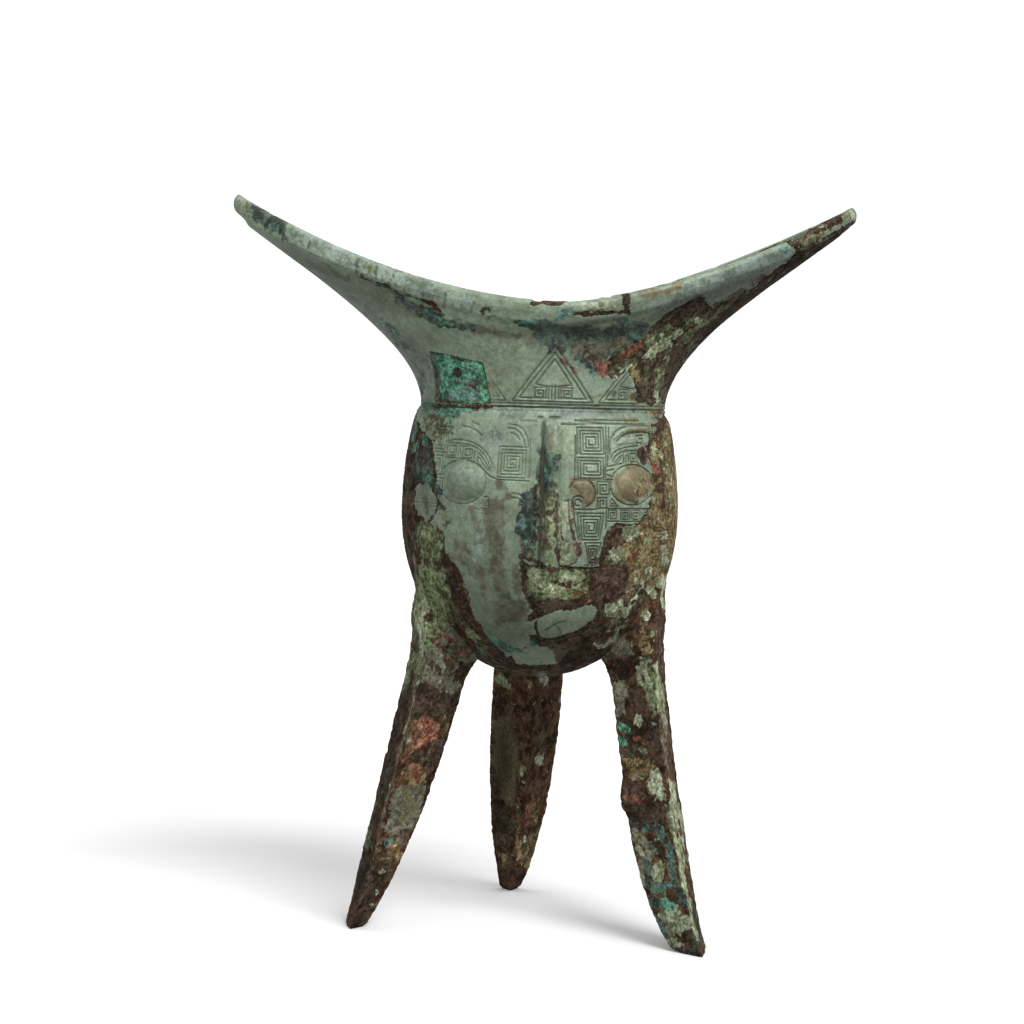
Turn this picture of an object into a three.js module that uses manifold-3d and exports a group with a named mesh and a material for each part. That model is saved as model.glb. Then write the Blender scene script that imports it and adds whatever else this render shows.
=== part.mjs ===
// Bronze jiao: a ritual wine vessel on three blade legs, with an egg-shaped bowl, a boat-shaped mouth
// that rises to two pointed lips, a mask band with round eyes, a centre flange and a loop handle.
//
// Millimetres, +Z up. -Y is the front, where the flange is, and +X and -X are the two lips.
// Each casting section of the vessel is one mesh.
import * as THREE from 'three';
import { mergeVertices } from 'three/addons/utils/BufferGeometryUtils.js';
import Module from 'manifold-3d';

const wasm = await Module();
wasm.setup();

// Driving dimensions
const wall = 2.6; // casting thickness of bowl and neck
const jointGap = 0.3; // space left between two sections that meet

const bowl = {
  radius: 40.7, // at its widest
  widestHeight: 121.6,
  baseHeight: 74.1, // lowest point of the round base
  shoulderRadius: 37.7,
  shoulderHeight: 149.4,
  collarRadius: 35.7, // where the sloping shoulder meets the neck
  collarHeight: 152.8,
  around: 48,
};

const mouth = {
  baseHeight: bowl.collarHeight + jointGap,
  neckRadius: 35.8,
  rimHalfWidth: 41, // front to back
  rimLowHeight: 183.8, // rim at the middle of the front
  // A lip's point is reach from the axis, and a larger rise keeps its rim low for longer
  leftLip: { reach: 91.2, height: 212.8, rise: 1.86 },
  rightLip: { reach: 90.6, height: 215.8, rise: 1.55 },
  planCurve: 1.8, // how fast the rim closes in towards the points
  pointBluntness: 0.8, // 0.5 is a round end, 1 a sharp one
  rimBand: { height: 6.5, thickness: 0.9 },
  rimThickness: 3.4,
  pointThickness: 6,
  around: 64,
};

const spacer = { width: 19.5, height: 14.5, azimuth: 225.3, centreHeight: 161.6 };

const flange = { width: 5.3, proud: 3, topHeight: 149, bottomHeight: 107.1, edge: 0.5 };

const eye = { halfWidth: 7.4, halfHeight: 5.9, proud: 2.2, depth: 6, height: 132.6, fromFlange: 36.5 };

// Raised forms on one side of the mask, as [distance from the flange round the wall, height] corners
const maskRelief = {
  proud: 0.5,
  forms: {
    horn: [
      [17, 141.8], [17.8, 145.4], [20.6, 147.8], [25, 148.6],
      [31, 148.4], [31, 144.4], [24, 143.7], [20, 142.6],
    ],
    upperScroll: [[7.6, 141.4], [14.8, 141.4], [14.8, 148.2], [7.6, 148.2]],
    middleScroll: [[7.6, 134.8], [14.8, 134.8], [14.8, 140.4], [7.6, 140.4]],
    boss: [[6.4, 130.2], [7.6, 132.8], [9.8, 133.7], [12, 132.6], [12.9, 130], [11.9, 127.4], [9.8, 126.4]],
    lowerScroll: [[7.6, 124.8], [14.8, 124.8], [13.6, 117.2], [12, 112.6], [10.4, 112.6], [8.8, 117.2]],
    jaw: [[17.4, 121.6], [30.4, 121.6], [29, 113.4], [25.6, 111.6], [19.4, 112.2]],
  },
};

// Rising blades round the neck: triangles that stand on its foot
const blades = { count: 9, halfWidth: 11, footHeight: 156, tipHeight: 171, proud: 0.45 };

const handle = {
  width: 9,
  thickness: 4.6,
  corner: 1.2,
  steps: 22,
  // Middle of the strap, as [distance behind the axis, height]
  path: [[35, 138.6], [47, 141.1], [58.5, 135.6], [62, 123.6], [57.5, 112.1], [47, 107.1], [33, 108.1]],
};

// The cow's head over the handle: sizes are half widths, places are [across, behind the axis, height]
const cow = {
  brow: { size: [8.5, 7, 6.5], place: [0, 47, 146.1] },
  snout: { size: [5.2, 7.5, 4.4], place: [0, 54.5, 144.6] },
  hornRadius: 1.9,
  horn: [[4, 46, 149.1], [9, 46, 151.6], [12, 48, 149.1], [11.5, 50.5, 145.1]],
};

const leg = {
  footHeight: 0,
  tailHeight: 106, // where the root fades into the bowl
  rootHeight: 77.6,
  width: 21,
  depth: 15.8,
  footWidth: 6.5,
  footDepth: 5.5,
  tailShare: 0.3, // width of the root's upper end, as a share of the leg's
  tailSink: 0.9, // how far that end lies inside the bowl's face
  tailWaist: 0.8, // how far the root draws in halfway up to that end
  cornerShare: 0.16, // how much of each side its rounded corner takes
};

// Where each leg leaves the bowl and where its foot stands: the middle of its outer face.
// With a bow below 1 the shank bends out towards the foot.
const legs = {
  leg_front_left: { facing: 192, taper: 2.35, bow: 0.93, root: [-35.8, -9.8], foot: [-53.7, -10] },
  leg_front_right: { facing: 345, taper: 5.5, bow: 0.7, root: [36.8, -13], foot: [47, -39] },
  leg_back: { facing: 90, taper: 2.9, bow: 0.7, root: [0.6, 37.4], foot: [-2, 51] },
};

const bronze = (colour, roughness = 0.62) =>
  new THREE.MeshStandardMaterial({ color: colour, roughness, metalness: 0.35 });
const sagePatina = bronze(0x76856f);
const brownPatina = bronze(0x4a3d31, 0.75);
const malachite = bronze(0x2f8668, 0.7);

const degrees = (angle) => (angle * Math.PI) / 180;
const mix = (a, b, share) => a + (b - a) * share;

// Azimuths of the vessel's two broad sides
const front = 270;
const back = 90;

// Solids

function solidOf(geometry) {
  const bare = geometry.clone();
  bare.deleteAttribute('normal');
  bare.deleteAttribute('uv');
  const merged = mergeVertices(bare, 1e-4);
  return new wasm.Manifold(
    new wasm.Mesh({
      numProp: 3,
      vertProperties: merged.attributes.position.array,
      triVerts: new Uint32Array(merged.index.array),
    }),
  );
}

function geometryOf(solid) {
  const mesh = solid.getMesh();
  const geometry = new THREE.BufferGeometry();
  geometry.setAttribute('position', new THREE.BufferAttribute(mesh.vertProperties, 3));
  geometry.setIndex(new THREE.BufferAttribute(mesh.triVerts, 1));
  geometry.computeVertexNormals();
  return geometry;
}

// A profile of [radius, height] points turned about +Z
function turned(profile, around) {
  const points = profile.map(([radius, height]) => new THREE.Vector2(radius, height));
  return new THREE.LatheGeometry(points, around).rotateX(Math.PI / 2);
}

// A closed solid through a stack of rings, each a list of Vector3 in the same order
function lofted(rings) {
  const sides = rings[0].length;
  const points = rings.flat();
  const faces = [];
  for (let level = 0; level < rings.length - 1; level++) {
    for (let side = 0; side < sides; side++) {
      const next = (side + 1) % sides;
      const low = level * sides;
      const high = low + sides;
      faces.push(low + side, low + next, high + next, low + side, high + next, high + side);
    }
  }
  const last = (rings.length - 1) * sides;
  for (let side = 1; side < sides - 1; side++) {
    faces.push(0, side + 1, side, last, last + side, last + side + 1);
  }
  const geometry = new THREE.BufferGeometry().setFromPoints(points);
  geometry.setIndex(faces);
  geometry.computeVertexNormals();
  return geometry;
}

// Bowl: an egg turned about the axis, open at the collar

function bowlProfile(grow) {
  const base = new THREE.EllipseCurve(
    0, bowl.widestHeight,
    bowl.radius + grow, bowl.widestHeight - bowl.baseHeight + grow,
    -Math.PI / 2, 0,
  ).getPoints(11);
  const rise = bowl.shoulderHeight - bowl.widestHeight;
  const narrowing = bowl.radius - bowl.shoulderRadius;
  const side = [0.25, 0.5, 0.75, 1].map((share) => [
    bowl.radius + grow - narrowing * share ** 2.2,
    bowl.widestHeight + rise * share,
  ]);
  return [...base.map((point) => [point.x, point.y]), ...side];
}

function bowlSolid() {
  const outside = [...bowlProfile(0), [bowl.collarRadius, bowl.collarHeight]];
  const inside = bowlProfile(-wall);
  inside.push([bowl.collarRadius - wall, bowl.collarHeight]);
  return solidOf(turned([...outside, ...inside.reverse()], bowl.around));
}

// A straight-sided block on an outline of [across, height] corners, through the wall at an azimuth
function radialBlock(corners, azimuth) {
  const [near, far] = [20, 60];
  const outline = new THREE.Shape(corners.map(([across, height]) => new THREE.Vector2(across, height)));
  const block = new THREE.ExtrudeGeometry(outline, { depth: far - near, bevelEnabled: false });
  const turn = degrees(azimuth);
  const outward = new THREE.Vector3(Math.cos(turn), Math.sin(turn), 0);
  const sideways = new THREE.Vector3(-Math.sin(turn), Math.cos(turn), 0);
  block.translate(0, 0, near);
  return solidOf(block.applyMatrix4(
    new THREE.Matrix4().makeBasis(sideways, new THREE.Vector3(0, 0, 1), outward)));
}

// The mask's raised forms: blocks cut to a thin shell that starts halfway through the wall
function maskSolid(middleAzimuth) {
  const shellOf = (grow) =>
    solidOf(turned([...bowlProfile(grow), [0, bowl.shoulderHeight]], bowl.around));
  const shell = shellOf(maskRelief.proud).subtract(shellOf(-wall / 2));
  const blocks = Object.values(maskRelief.forms).flatMap((corners) => [-1, 1].map((side) => {
    const arcs = corners.map(([arc]) => arc);
    const middle = (Math.min(...arcs) + Math.max(...arcs)) / 2;
    const local = corners.map(([arc, height]) => [side * (arc - middle), height]);
    if (side < 0) local.reverse();
    return radialBlock(local, middleAzimuth + (side * middle * 180) / (Math.PI * bowl.radius));
  }));
  return wasm.Manifold.union(blocks).intersect(shell);
}

// The bowl as a plug without a hollow, grown by the joint gap, for cutting what meets it
function bowlPlug() {
  const top = bowl.collarHeight + jointGap;
  const profile = [...bowlProfile(jointGap), [bowl.collarRadius + jointGap, top], [0, top]];
  return solidOf(turned(profile, bowl.around));
}

function bowlRadiusAt(height) {
  if (height >= bowl.widestHeight) {
    const share = (height - bowl.widestHeight) / (bowl.shoulderHeight - bowl.widestHeight);
    return bowl.radius - (bowl.radius - bowl.shoulderRadius) * share ** 2.2;
  }
  const drop = (bowl.widestHeight - height) / (bowl.widestHeight - bowl.baseHeight);
  return bowl.radius * Math.sqrt(Math.max(0, 1 - drop ** 2));
}

// Flared mouth: a round neck that opens into a boat-shaped rim

const outerWall = { radius: mouth.neckRadius, inset: 0, halfWidth: mouth.rimHalfWidth };
const innerWall = {
  radius: mouth.neckRadius - wall,
  inset: mouth.pointThickness,
  halfWidth: mouth.rimHalfWidth - mouth.rimThickness,
};

// How far a wall's rim is out towards its lip at an angle, and how high above the neck's foot
function rimAt(side, angle) {
  const cosine = Math.cos(angle);
  const lip = cosine < 0 ? mouth.leftLip : mouth.rightLip;
  const x = (lip.reach - side.inset) * cosine;
  const top = mix(mouth.rimLowHeight, lip.height, (Math.abs(x) / lip.reach) ** lip.rise);
  return { x, rise: top - mouth.baseHeight };
}

// Point of a wall at an angle round the neck, below the rim by a drop from 0 to the whole height
function mouthPoint(side, angle, drop, proud) {
  const cosine = Math.cos(angle);
  const rim = rimAt(side, angle);
  const climb = 1 - drop / rim.rise;
  const flare = Math.min(1, climb ** 2 * (2.04 - 0.95 * climb));
  const closing = Math.max(0, 1 - Math.abs(cosine) ** mouth.planCurve) ** mouth.pointBluntness;
  const rimY = side.halfWidth * Math.sign(Math.sin(angle)) * closing;
  const x = mix(side.radius * cosine, rim.x, flare);
  const y = mix(side.radius * Math.sin(angle), rimY, flare);
  const away = 1 + proud / Math.hypot(x, y);
  return new THREE.Vector3(x * away, y * away, mouth.baseHeight + rim.rise * climb);
}

function mouthSolidOf(inner, grow) {
  const { height: band, thickness } = mouth.rimBand;
  const bandSteps = [
    [band + 1.6, 0],
    [band, thickness * 0.7],
    [band * 0.75, thickness],
    [band * 0.3, thickness * 0.8],
    [0, 0],
  ];
  const wallSteps = [1, 0.86, 0.72, 0.58, 0.44, 0.3, 0.16];
  const rings = (angle) => {
    const bandFoot = bandSteps[0][0];
    const outside = wallSteps.map((share) =>
      mouthPoint(outerWall, angle, mix(bandFoot, rimAt(outerWall, angle).rise, share), grow));
    const banded = bandSteps.map(([drop, proud]) => mouthPoint(outerWall, angle, drop, proud + grow));
    const inside = [0, ...wallSteps.toReversed()].map((share) =>
      mouthPoint(inner, angle, rimAt(inner, angle).rise * share, 0));
    return [...outside, ...banded, ...inside];
  };
  const count = rings(0).length;
  const outline = Array.from({ length: count + 1 }, () => new THREE.Vector2(1, 0));
  const geometry = new THREE.LatheGeometry(outline, mouth.around);
  const position = geometry.attributes.position;
  for (let turn = 0; turn <= mouth.around; turn++) {
    const section = rings((turn / mouth.around) * 2 * Math.PI);
    section.push(section[0]);
    section.forEach((point, step) => {
      position.setXYZ(turn * (count + 1) + step, point.x, point.y, point.z);
    });
  }
  return solidOf(geometry);
}

// The blades that the spacer plate doesn't cover, cut to a shell that starts halfway through the neck
function bladeSolid() {
  const pitch = 360 / blades.count;
  const triangle = [
    [-blades.halfWidth, blades.footHeight],
    [blades.halfWidth, blades.footHeight],
    [0, blades.tipHeight],
  ];
  const middleWall = {
    radius: mouth.neckRadius - wall / 2,
    inset: mouth.pointThickness / 2,
    halfWidth: mouth.rimHalfWidth - mouth.rimThickness / 2,
  };
  const shell = mouthSolidOf(middleWall, blades.proud);
  const azimuths = Array.from({ length: blades.count }, (_, blade) => front + blade * pitch)
    .filter((azimuth) => Math.abs((azimuth % 360) - spacer.azimuth) > pitch / 2);
  return wasm.Manifold.union(azimuths.map((azimuth) => radialBlock(triangle, azimuth))).intersect(shell);
}

// A block through the neck wall, for the square spacer plate and its seat
function spacerBlock(clearance) {
  const reach = 30;
  const block = new THREE.BoxGeometry(reach, spacer.width + clearance, spacer.height + clearance);
  block.translate(mouth.neckRadius, 0, spacer.centreHeight);
  return solidOf(block.rotateZ(degrees(spacer.azimuth)));
}

// Legs: three-sided blades with a flat outer face and a ridge that faces the axis

function legRing(plan, width, depth, centre, height) {
  const corners = [
    [0, -width / 2],
    [0, width / 2],
    [-depth, 0],
  ];
  const turn = degrees(plan.facing);
  const ring = [];
  corners.forEach((corner, index) => {
    const before = corners[(index + 2) % 3];
    const after = corners[(index + 1) % 3];
    for (const [other, share] of [[before, leg.cornerShare], [corner, 0.05], [after, leg.cornerShare]]) {
      const blunt = other === corner ? [-depth / 3, 0] : other;
      const out = mix(corner[0], blunt[0], share);
      const across = mix(corner[1], blunt[1], share);
      ring.push(new THREE.Vector3(
        centre[0] + out * Math.cos(turn) - across * Math.sin(turn),
        centre[1] + out * Math.sin(turn) + across * Math.cos(turn),
        height,
      ));
    }
  });
  return ring;
}

function legGeometry(plan, plug) {
  const rings = [];
  for (const share of [0, 0.06, 0.14, 0.26, 0.42, 0.6, 0.8, 1]) {
    const height = mix(leg.footHeight, leg.rootHeight, share);
    const taper = 1 - (1 - share) ** plan.taper;
    const centre = [0, 1].map((axis) => mix(plan.foot[axis], plan.root[axis], share ** plan.bow));
    rings.push(legRing(
      plan,
      mix(leg.footWidth, leg.width, taper),
      mix(leg.footDepth, leg.depth, taper),
      centre,
      height,
    ));
  }
  // Above the root the outer face runs straight up, until it is flush with the bowl
  const flush = bowlRadiusAt(leg.tailHeight) - leg.tailSink;
  for (const share of [0.25, 0.5, 0.75, 1]) {
    const height = mix(leg.rootHeight, leg.tailHeight, share);
    const rootAngle = Math.atan2(plan.root[1], plan.root[0]);
    const straight = mix(Math.hypot(...plan.root), flush, share);
    const reach = straight - leg.tailWaist * Math.sin(Math.PI * share);
    rings.push(legRing(
      plan,
      leg.width * mix(1, leg.tailShare, share ** 1.5),
      leg.depth,
      [reach * Math.cos(rootAngle), reach * Math.sin(rootAngle)],
      height,
    ));
  }
  return geometryOf(solidOf(lofted(rings)).subtract(plug));
}

// Centre flange: a bar up the front of the bowl that follows its curve

function flangeGeometry(plug) {
  const steps = 8;
  const heights = Array.from({ length: steps + 1 }, (_, step) =>
    mix(flange.bottomHeight, flange.topHeight, step / steps));
  const face = heights.map((height) => [bowlRadiusAt(height) + flange.proud, height]);
  const back = heights.map((height) => [bowlRadiusAt(height) - 1, height]).reverse();
  const outline = new THREE.Shape([...face, ...back].map(([out, height]) => new THREE.Vector2(out, height)));
  const bar = new THREE.ExtrudeGeometry(outline, {
    depth: flange.width - 2 * flange.edge,
    bevelEnabled: true,
    bevelSegments: 1,
    bevelThickness: flange.edge,
    bevelSize: flange.edge,
    bevelOffset: -flange.edge,
  });
  bar.translate(0, 0, flange.edge - flange.width / 2);
  bar.rotateX(Math.PI / 2).rotateZ(-Math.PI / 2);
  return geometryOf(solidOf(bar).subtract(plug));
}

// Mask eyes: oval domes on the bowl

function eyeGeometry(azimuth, plug) {
  const seat = bowlRadiusAt(eye.height);
  const sunk = 1.25; // the whole oval against the part of it that stands out of the bowl
  const dome = new THREE.SphereGeometry(1, 20, 12);
  dome.scale(eye.depth, eye.halfWidth * sunk, eye.halfHeight * sunk);
  dome.translate(seat + eye.proud - eye.depth, 0, eye.height).rotateZ(degrees(azimuth));
  return geometryOf(solidOf(dome).subtract(plug));
}

// Handle: a strap loop at the back, with an animal head over its upper end

// The strap, grown all round for the seat of the head
function strapSolid(grow) {
  const halfWidth = handle.width / 2 + grow;
  const halfThickness = handle.thickness / 2 + grow;
  const flatWidth = halfWidth - handle.corner;
  const flatThickness = halfThickness - handle.corner;
  const section = new THREE.Shape([
    new THREE.Vector2(-flatWidth, -halfThickness),
    new THREE.Vector2(flatWidth, -halfThickness),
    new THREE.Vector2(halfWidth, -flatThickness),
    new THREE.Vector2(halfWidth, flatThickness),
    new THREE.Vector2(flatWidth, halfThickness),
    new THREE.Vector2(-flatWidth, halfThickness),
    new THREE.Vector2(-halfWidth, flatThickness),
    new THREE.Vector2(-halfWidth, -flatThickness),
  ]);
  const path = handle.path.map(([behind, height]) => new THREE.Vector3(0, behind, height));
  return solidOf(new THREE.ExtrudeGeometry(section, {
    steps: handle.steps,
    extrudePath: new THREE.CatmullRomCurve3(path),
  }));
}

// A domed brow, a snout over the strap and two swept horns
function headSolid() {
  const rounded = ({ size, place }, around) =>
    solidOf(new THREE.SphereGeometry(1, around, around / 2).scale(...size).translate(...place));
  let head = rounded(cow.brow, 16).add(rounded(cow.snout, 14));
  const round = new THREE.Shape().absarc(0, 0, cow.hornRadius, 0, 2 * Math.PI);
  for (const side of [-1, 1]) {
    const path = cow.horn.map(([across, behind, height]) =>
      new THREE.Vector3(side * across, behind, height));
    head = head.add(solidOf(new THREE.ExtrudeGeometry(round, {
      steps: 8,
      curveSegments: 6,
      extrudePath: new THREE.CatmullRomCurve3(path),
    })));
  }
  return head;
}

// The foot of the neck without a hollow, grown by the joint gap
function neckPlug() {
  const radius = mouth.neckRadius + jointGap;
  const [low, high] = [bowl.shoulderHeight, mouth.rimLowHeight];
  const spread = 3;
  return solidOf(turned([[0, low], [radius, low], [radius + spread, high], [0, high]], bowl.around));
}

// Assembly

const vessel = new THREE.Group();

function place(name, geometry, material) {
  const mesh = new THREE.Mesh(geometry, material);
  mesh.name = name;
  vessel.add(mesh);
}

const plug = bowlPlug();
const mouthSolid = mouthSolidOf(innerWall, 0).add(bladeSolid());
const maskedBowl = bowlSolid().add(maskSolid(front)).add(maskSolid(back));

place('bowl', geometryOf(maskedBowl), sagePatina);
place('flared_mouth', geometryOf(mouthSolid.subtract(spacerBlock(2 * jointGap))), sagePatina);
place('neck_spacer', geometryOf(mouthSolid.intersect(spacerBlock(0))), malachite);
place('front_flange', flangeGeometry(plug), sagePatina);
for (const [name, plan] of Object.entries(legs)) {
  place(name, legGeometry(plan, plug), brownPatina);
}
place('eye_front_left', eyeGeometry(front - eye.fromFlange, plug), sagePatina);
place('eye_front_right', eyeGeometry(front + eye.fromFlange, plug), sagePatina);
place('eye_back_left', eyeGeometry(back + eye.fromFlange, plug), sagePatina);
place('eye_back_right', eyeGeometry(back - eye.fromFlange, plug), sagePatina);
place('handle_loop', geometryOf(strapSolid(0).subtract(plug)), brownPatina);
const head = headSolid().subtract(plug).subtract(neckPlug()).subtract(strapSolid(jointGap));
place('handle_head', geometryOf(head), brownPatina);

// The origin is on the ground, under the middle of the whole vessel
const box = new THREE.Box3().setFromObject(vessel);
const middle = box.getCenter(new THREE.Vector3());
vessel.position.set(-middle.x, -middle.y, -box.min.z);

const jiao = new THREE.Group();
jiao.add(vessel);

export default jiao;
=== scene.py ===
import math

import bpy
import numpy as np
from mathutils import Matrix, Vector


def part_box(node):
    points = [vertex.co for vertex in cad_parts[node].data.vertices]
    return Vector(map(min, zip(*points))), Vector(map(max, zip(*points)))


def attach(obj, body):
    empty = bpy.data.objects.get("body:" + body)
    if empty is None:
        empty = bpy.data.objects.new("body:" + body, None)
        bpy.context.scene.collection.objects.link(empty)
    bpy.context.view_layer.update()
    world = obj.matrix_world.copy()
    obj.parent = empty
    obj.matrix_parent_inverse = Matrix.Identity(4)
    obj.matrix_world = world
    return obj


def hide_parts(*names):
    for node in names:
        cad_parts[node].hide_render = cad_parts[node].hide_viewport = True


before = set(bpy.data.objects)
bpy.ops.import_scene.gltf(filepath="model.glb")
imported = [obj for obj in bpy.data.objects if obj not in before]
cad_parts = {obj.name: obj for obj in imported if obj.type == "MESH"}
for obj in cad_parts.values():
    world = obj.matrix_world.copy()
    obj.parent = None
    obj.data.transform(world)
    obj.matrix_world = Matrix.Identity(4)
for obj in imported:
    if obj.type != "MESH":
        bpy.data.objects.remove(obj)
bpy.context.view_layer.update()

# Everything is shaped in millimetres from the bowl's axis, and written to the meshes in metres
mm = 0.001
bowlLow, bowlHigh = [np.array(corner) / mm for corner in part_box("bowl")]
axisPlace = np.array([(bowlLow[0] + bowlHigh[0]) / 2, (bowlLow[1] + bowlHigh[1]) / 2, 0.0])

bowlForm = {
    "radius": (bowlHigh[0] - bowlLow[0]) / 2,
    "baseHeight": bowlLow[2],
    "collarHeight": bowlHigh[2],
    "widestHeight": 121.6,
    "shoulderRadius": 37.7,
    "shoulderHeight": 149.4,
    "collarRadius": 35.7,
    "wall": 2.6,
}


# Noise and small maths

tiny = 1e-9
farAway = 1e3  # pixels


def blend(a, b, share):
    return a + (b - a) * share


def ease(low, high, value):
    share = np.clip((value - low) / (high - low), 0, 1)
    return share * share * (3 - 2 * share)


def cellValue(cell, seed):
    n = (cell[:, 0] * 73856093) ^ (cell[:, 1] * 19349663) ^ (cell[:, 2] * 83492791) ^ (seed * 265443)
    n = n.astype(np.uint32)
    n = (n ^ (n >> np.uint32(13))) * np.uint32(1274126177)
    n = (n ^ (n >> np.uint32(15))) * np.uint32(668265263)
    return ((n >> np.uint32(8)) & np.uint32(0xffff)) / 32767.5 - 1


def cloudNoise(points, size, seed):
    spot = points / size
    base = np.floor(spot)
    part = spot - base
    part = part * part * (3 - 2 * part)
    base = base.astype(np.int64)
    total = np.zeros(len(points))
    for corner in np.ndindex(2, 2, 2):
        share = np.ones(len(points))
        for side in range(3):
            share *= part[:, side] if corner[side] else 1 - part[:, side]
        total += share * cellValue(base + corner, seed)
    return total


# Each octave is turned against the last, so that the cells' own directions don't show
noiseTurn = np.array([[0.36, 0.48, -0.8], [-0.8, 0.6, 0.0], [0.48, 0.64, 0.6]])


def roughNoise(points, size, octaves, seed):
    total = np.zeros(len(points))
    for octave in range(octaves):
        points = points @ noiseTurn + 31.7
        total += 0.52 ** octave * cloudNoise(points, size / 2 ** octave, seed + octave)
    return total


# The photograph's camera, from the bowl's axis in millimetres; turns in degrees
photoView = {
    "stand": np.array([-58.84, -747.69, 163.1]),
    "heading": 86.124,
    "pitch": 3.106,
    "roll": 1.7,
    "focal": 2541,  # pixels
    "middle": 512,
}


def viewAxes():
    heading = math.radians(photoView["heading"])
    pitch = math.radians(photoView["pitch"])
    roll = math.radians(photoView["roll"])
    ahead = np.array([
        math.cos(heading) * math.cos(pitch), math.sin(heading) * math.cos(pitch), -math.sin(pitch)])
    level = np.cross(ahead, [0, 0, 1])
    level /= np.linalg.norm(level)
    rise = np.cross(level, ahead)
    right = level * math.cos(roll) + rise * math.sin(roll)
    up = rise * math.cos(roll) - level * math.sin(roll)
    return right, up, ahead


viewRight, viewUp, viewAhead = viewAxes()


def photoSpot(points):
    fromCamera = points - photoView["stand"]
    depth = fromCamera @ viewAhead
    across = photoView["middle"] + photoView["focal"] * (fromCamera @ viewRight) / depth
    down = photoView["middle"] - photoView["focal"] * (fromCamera @ viewUp) / depth
    return across, down


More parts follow.
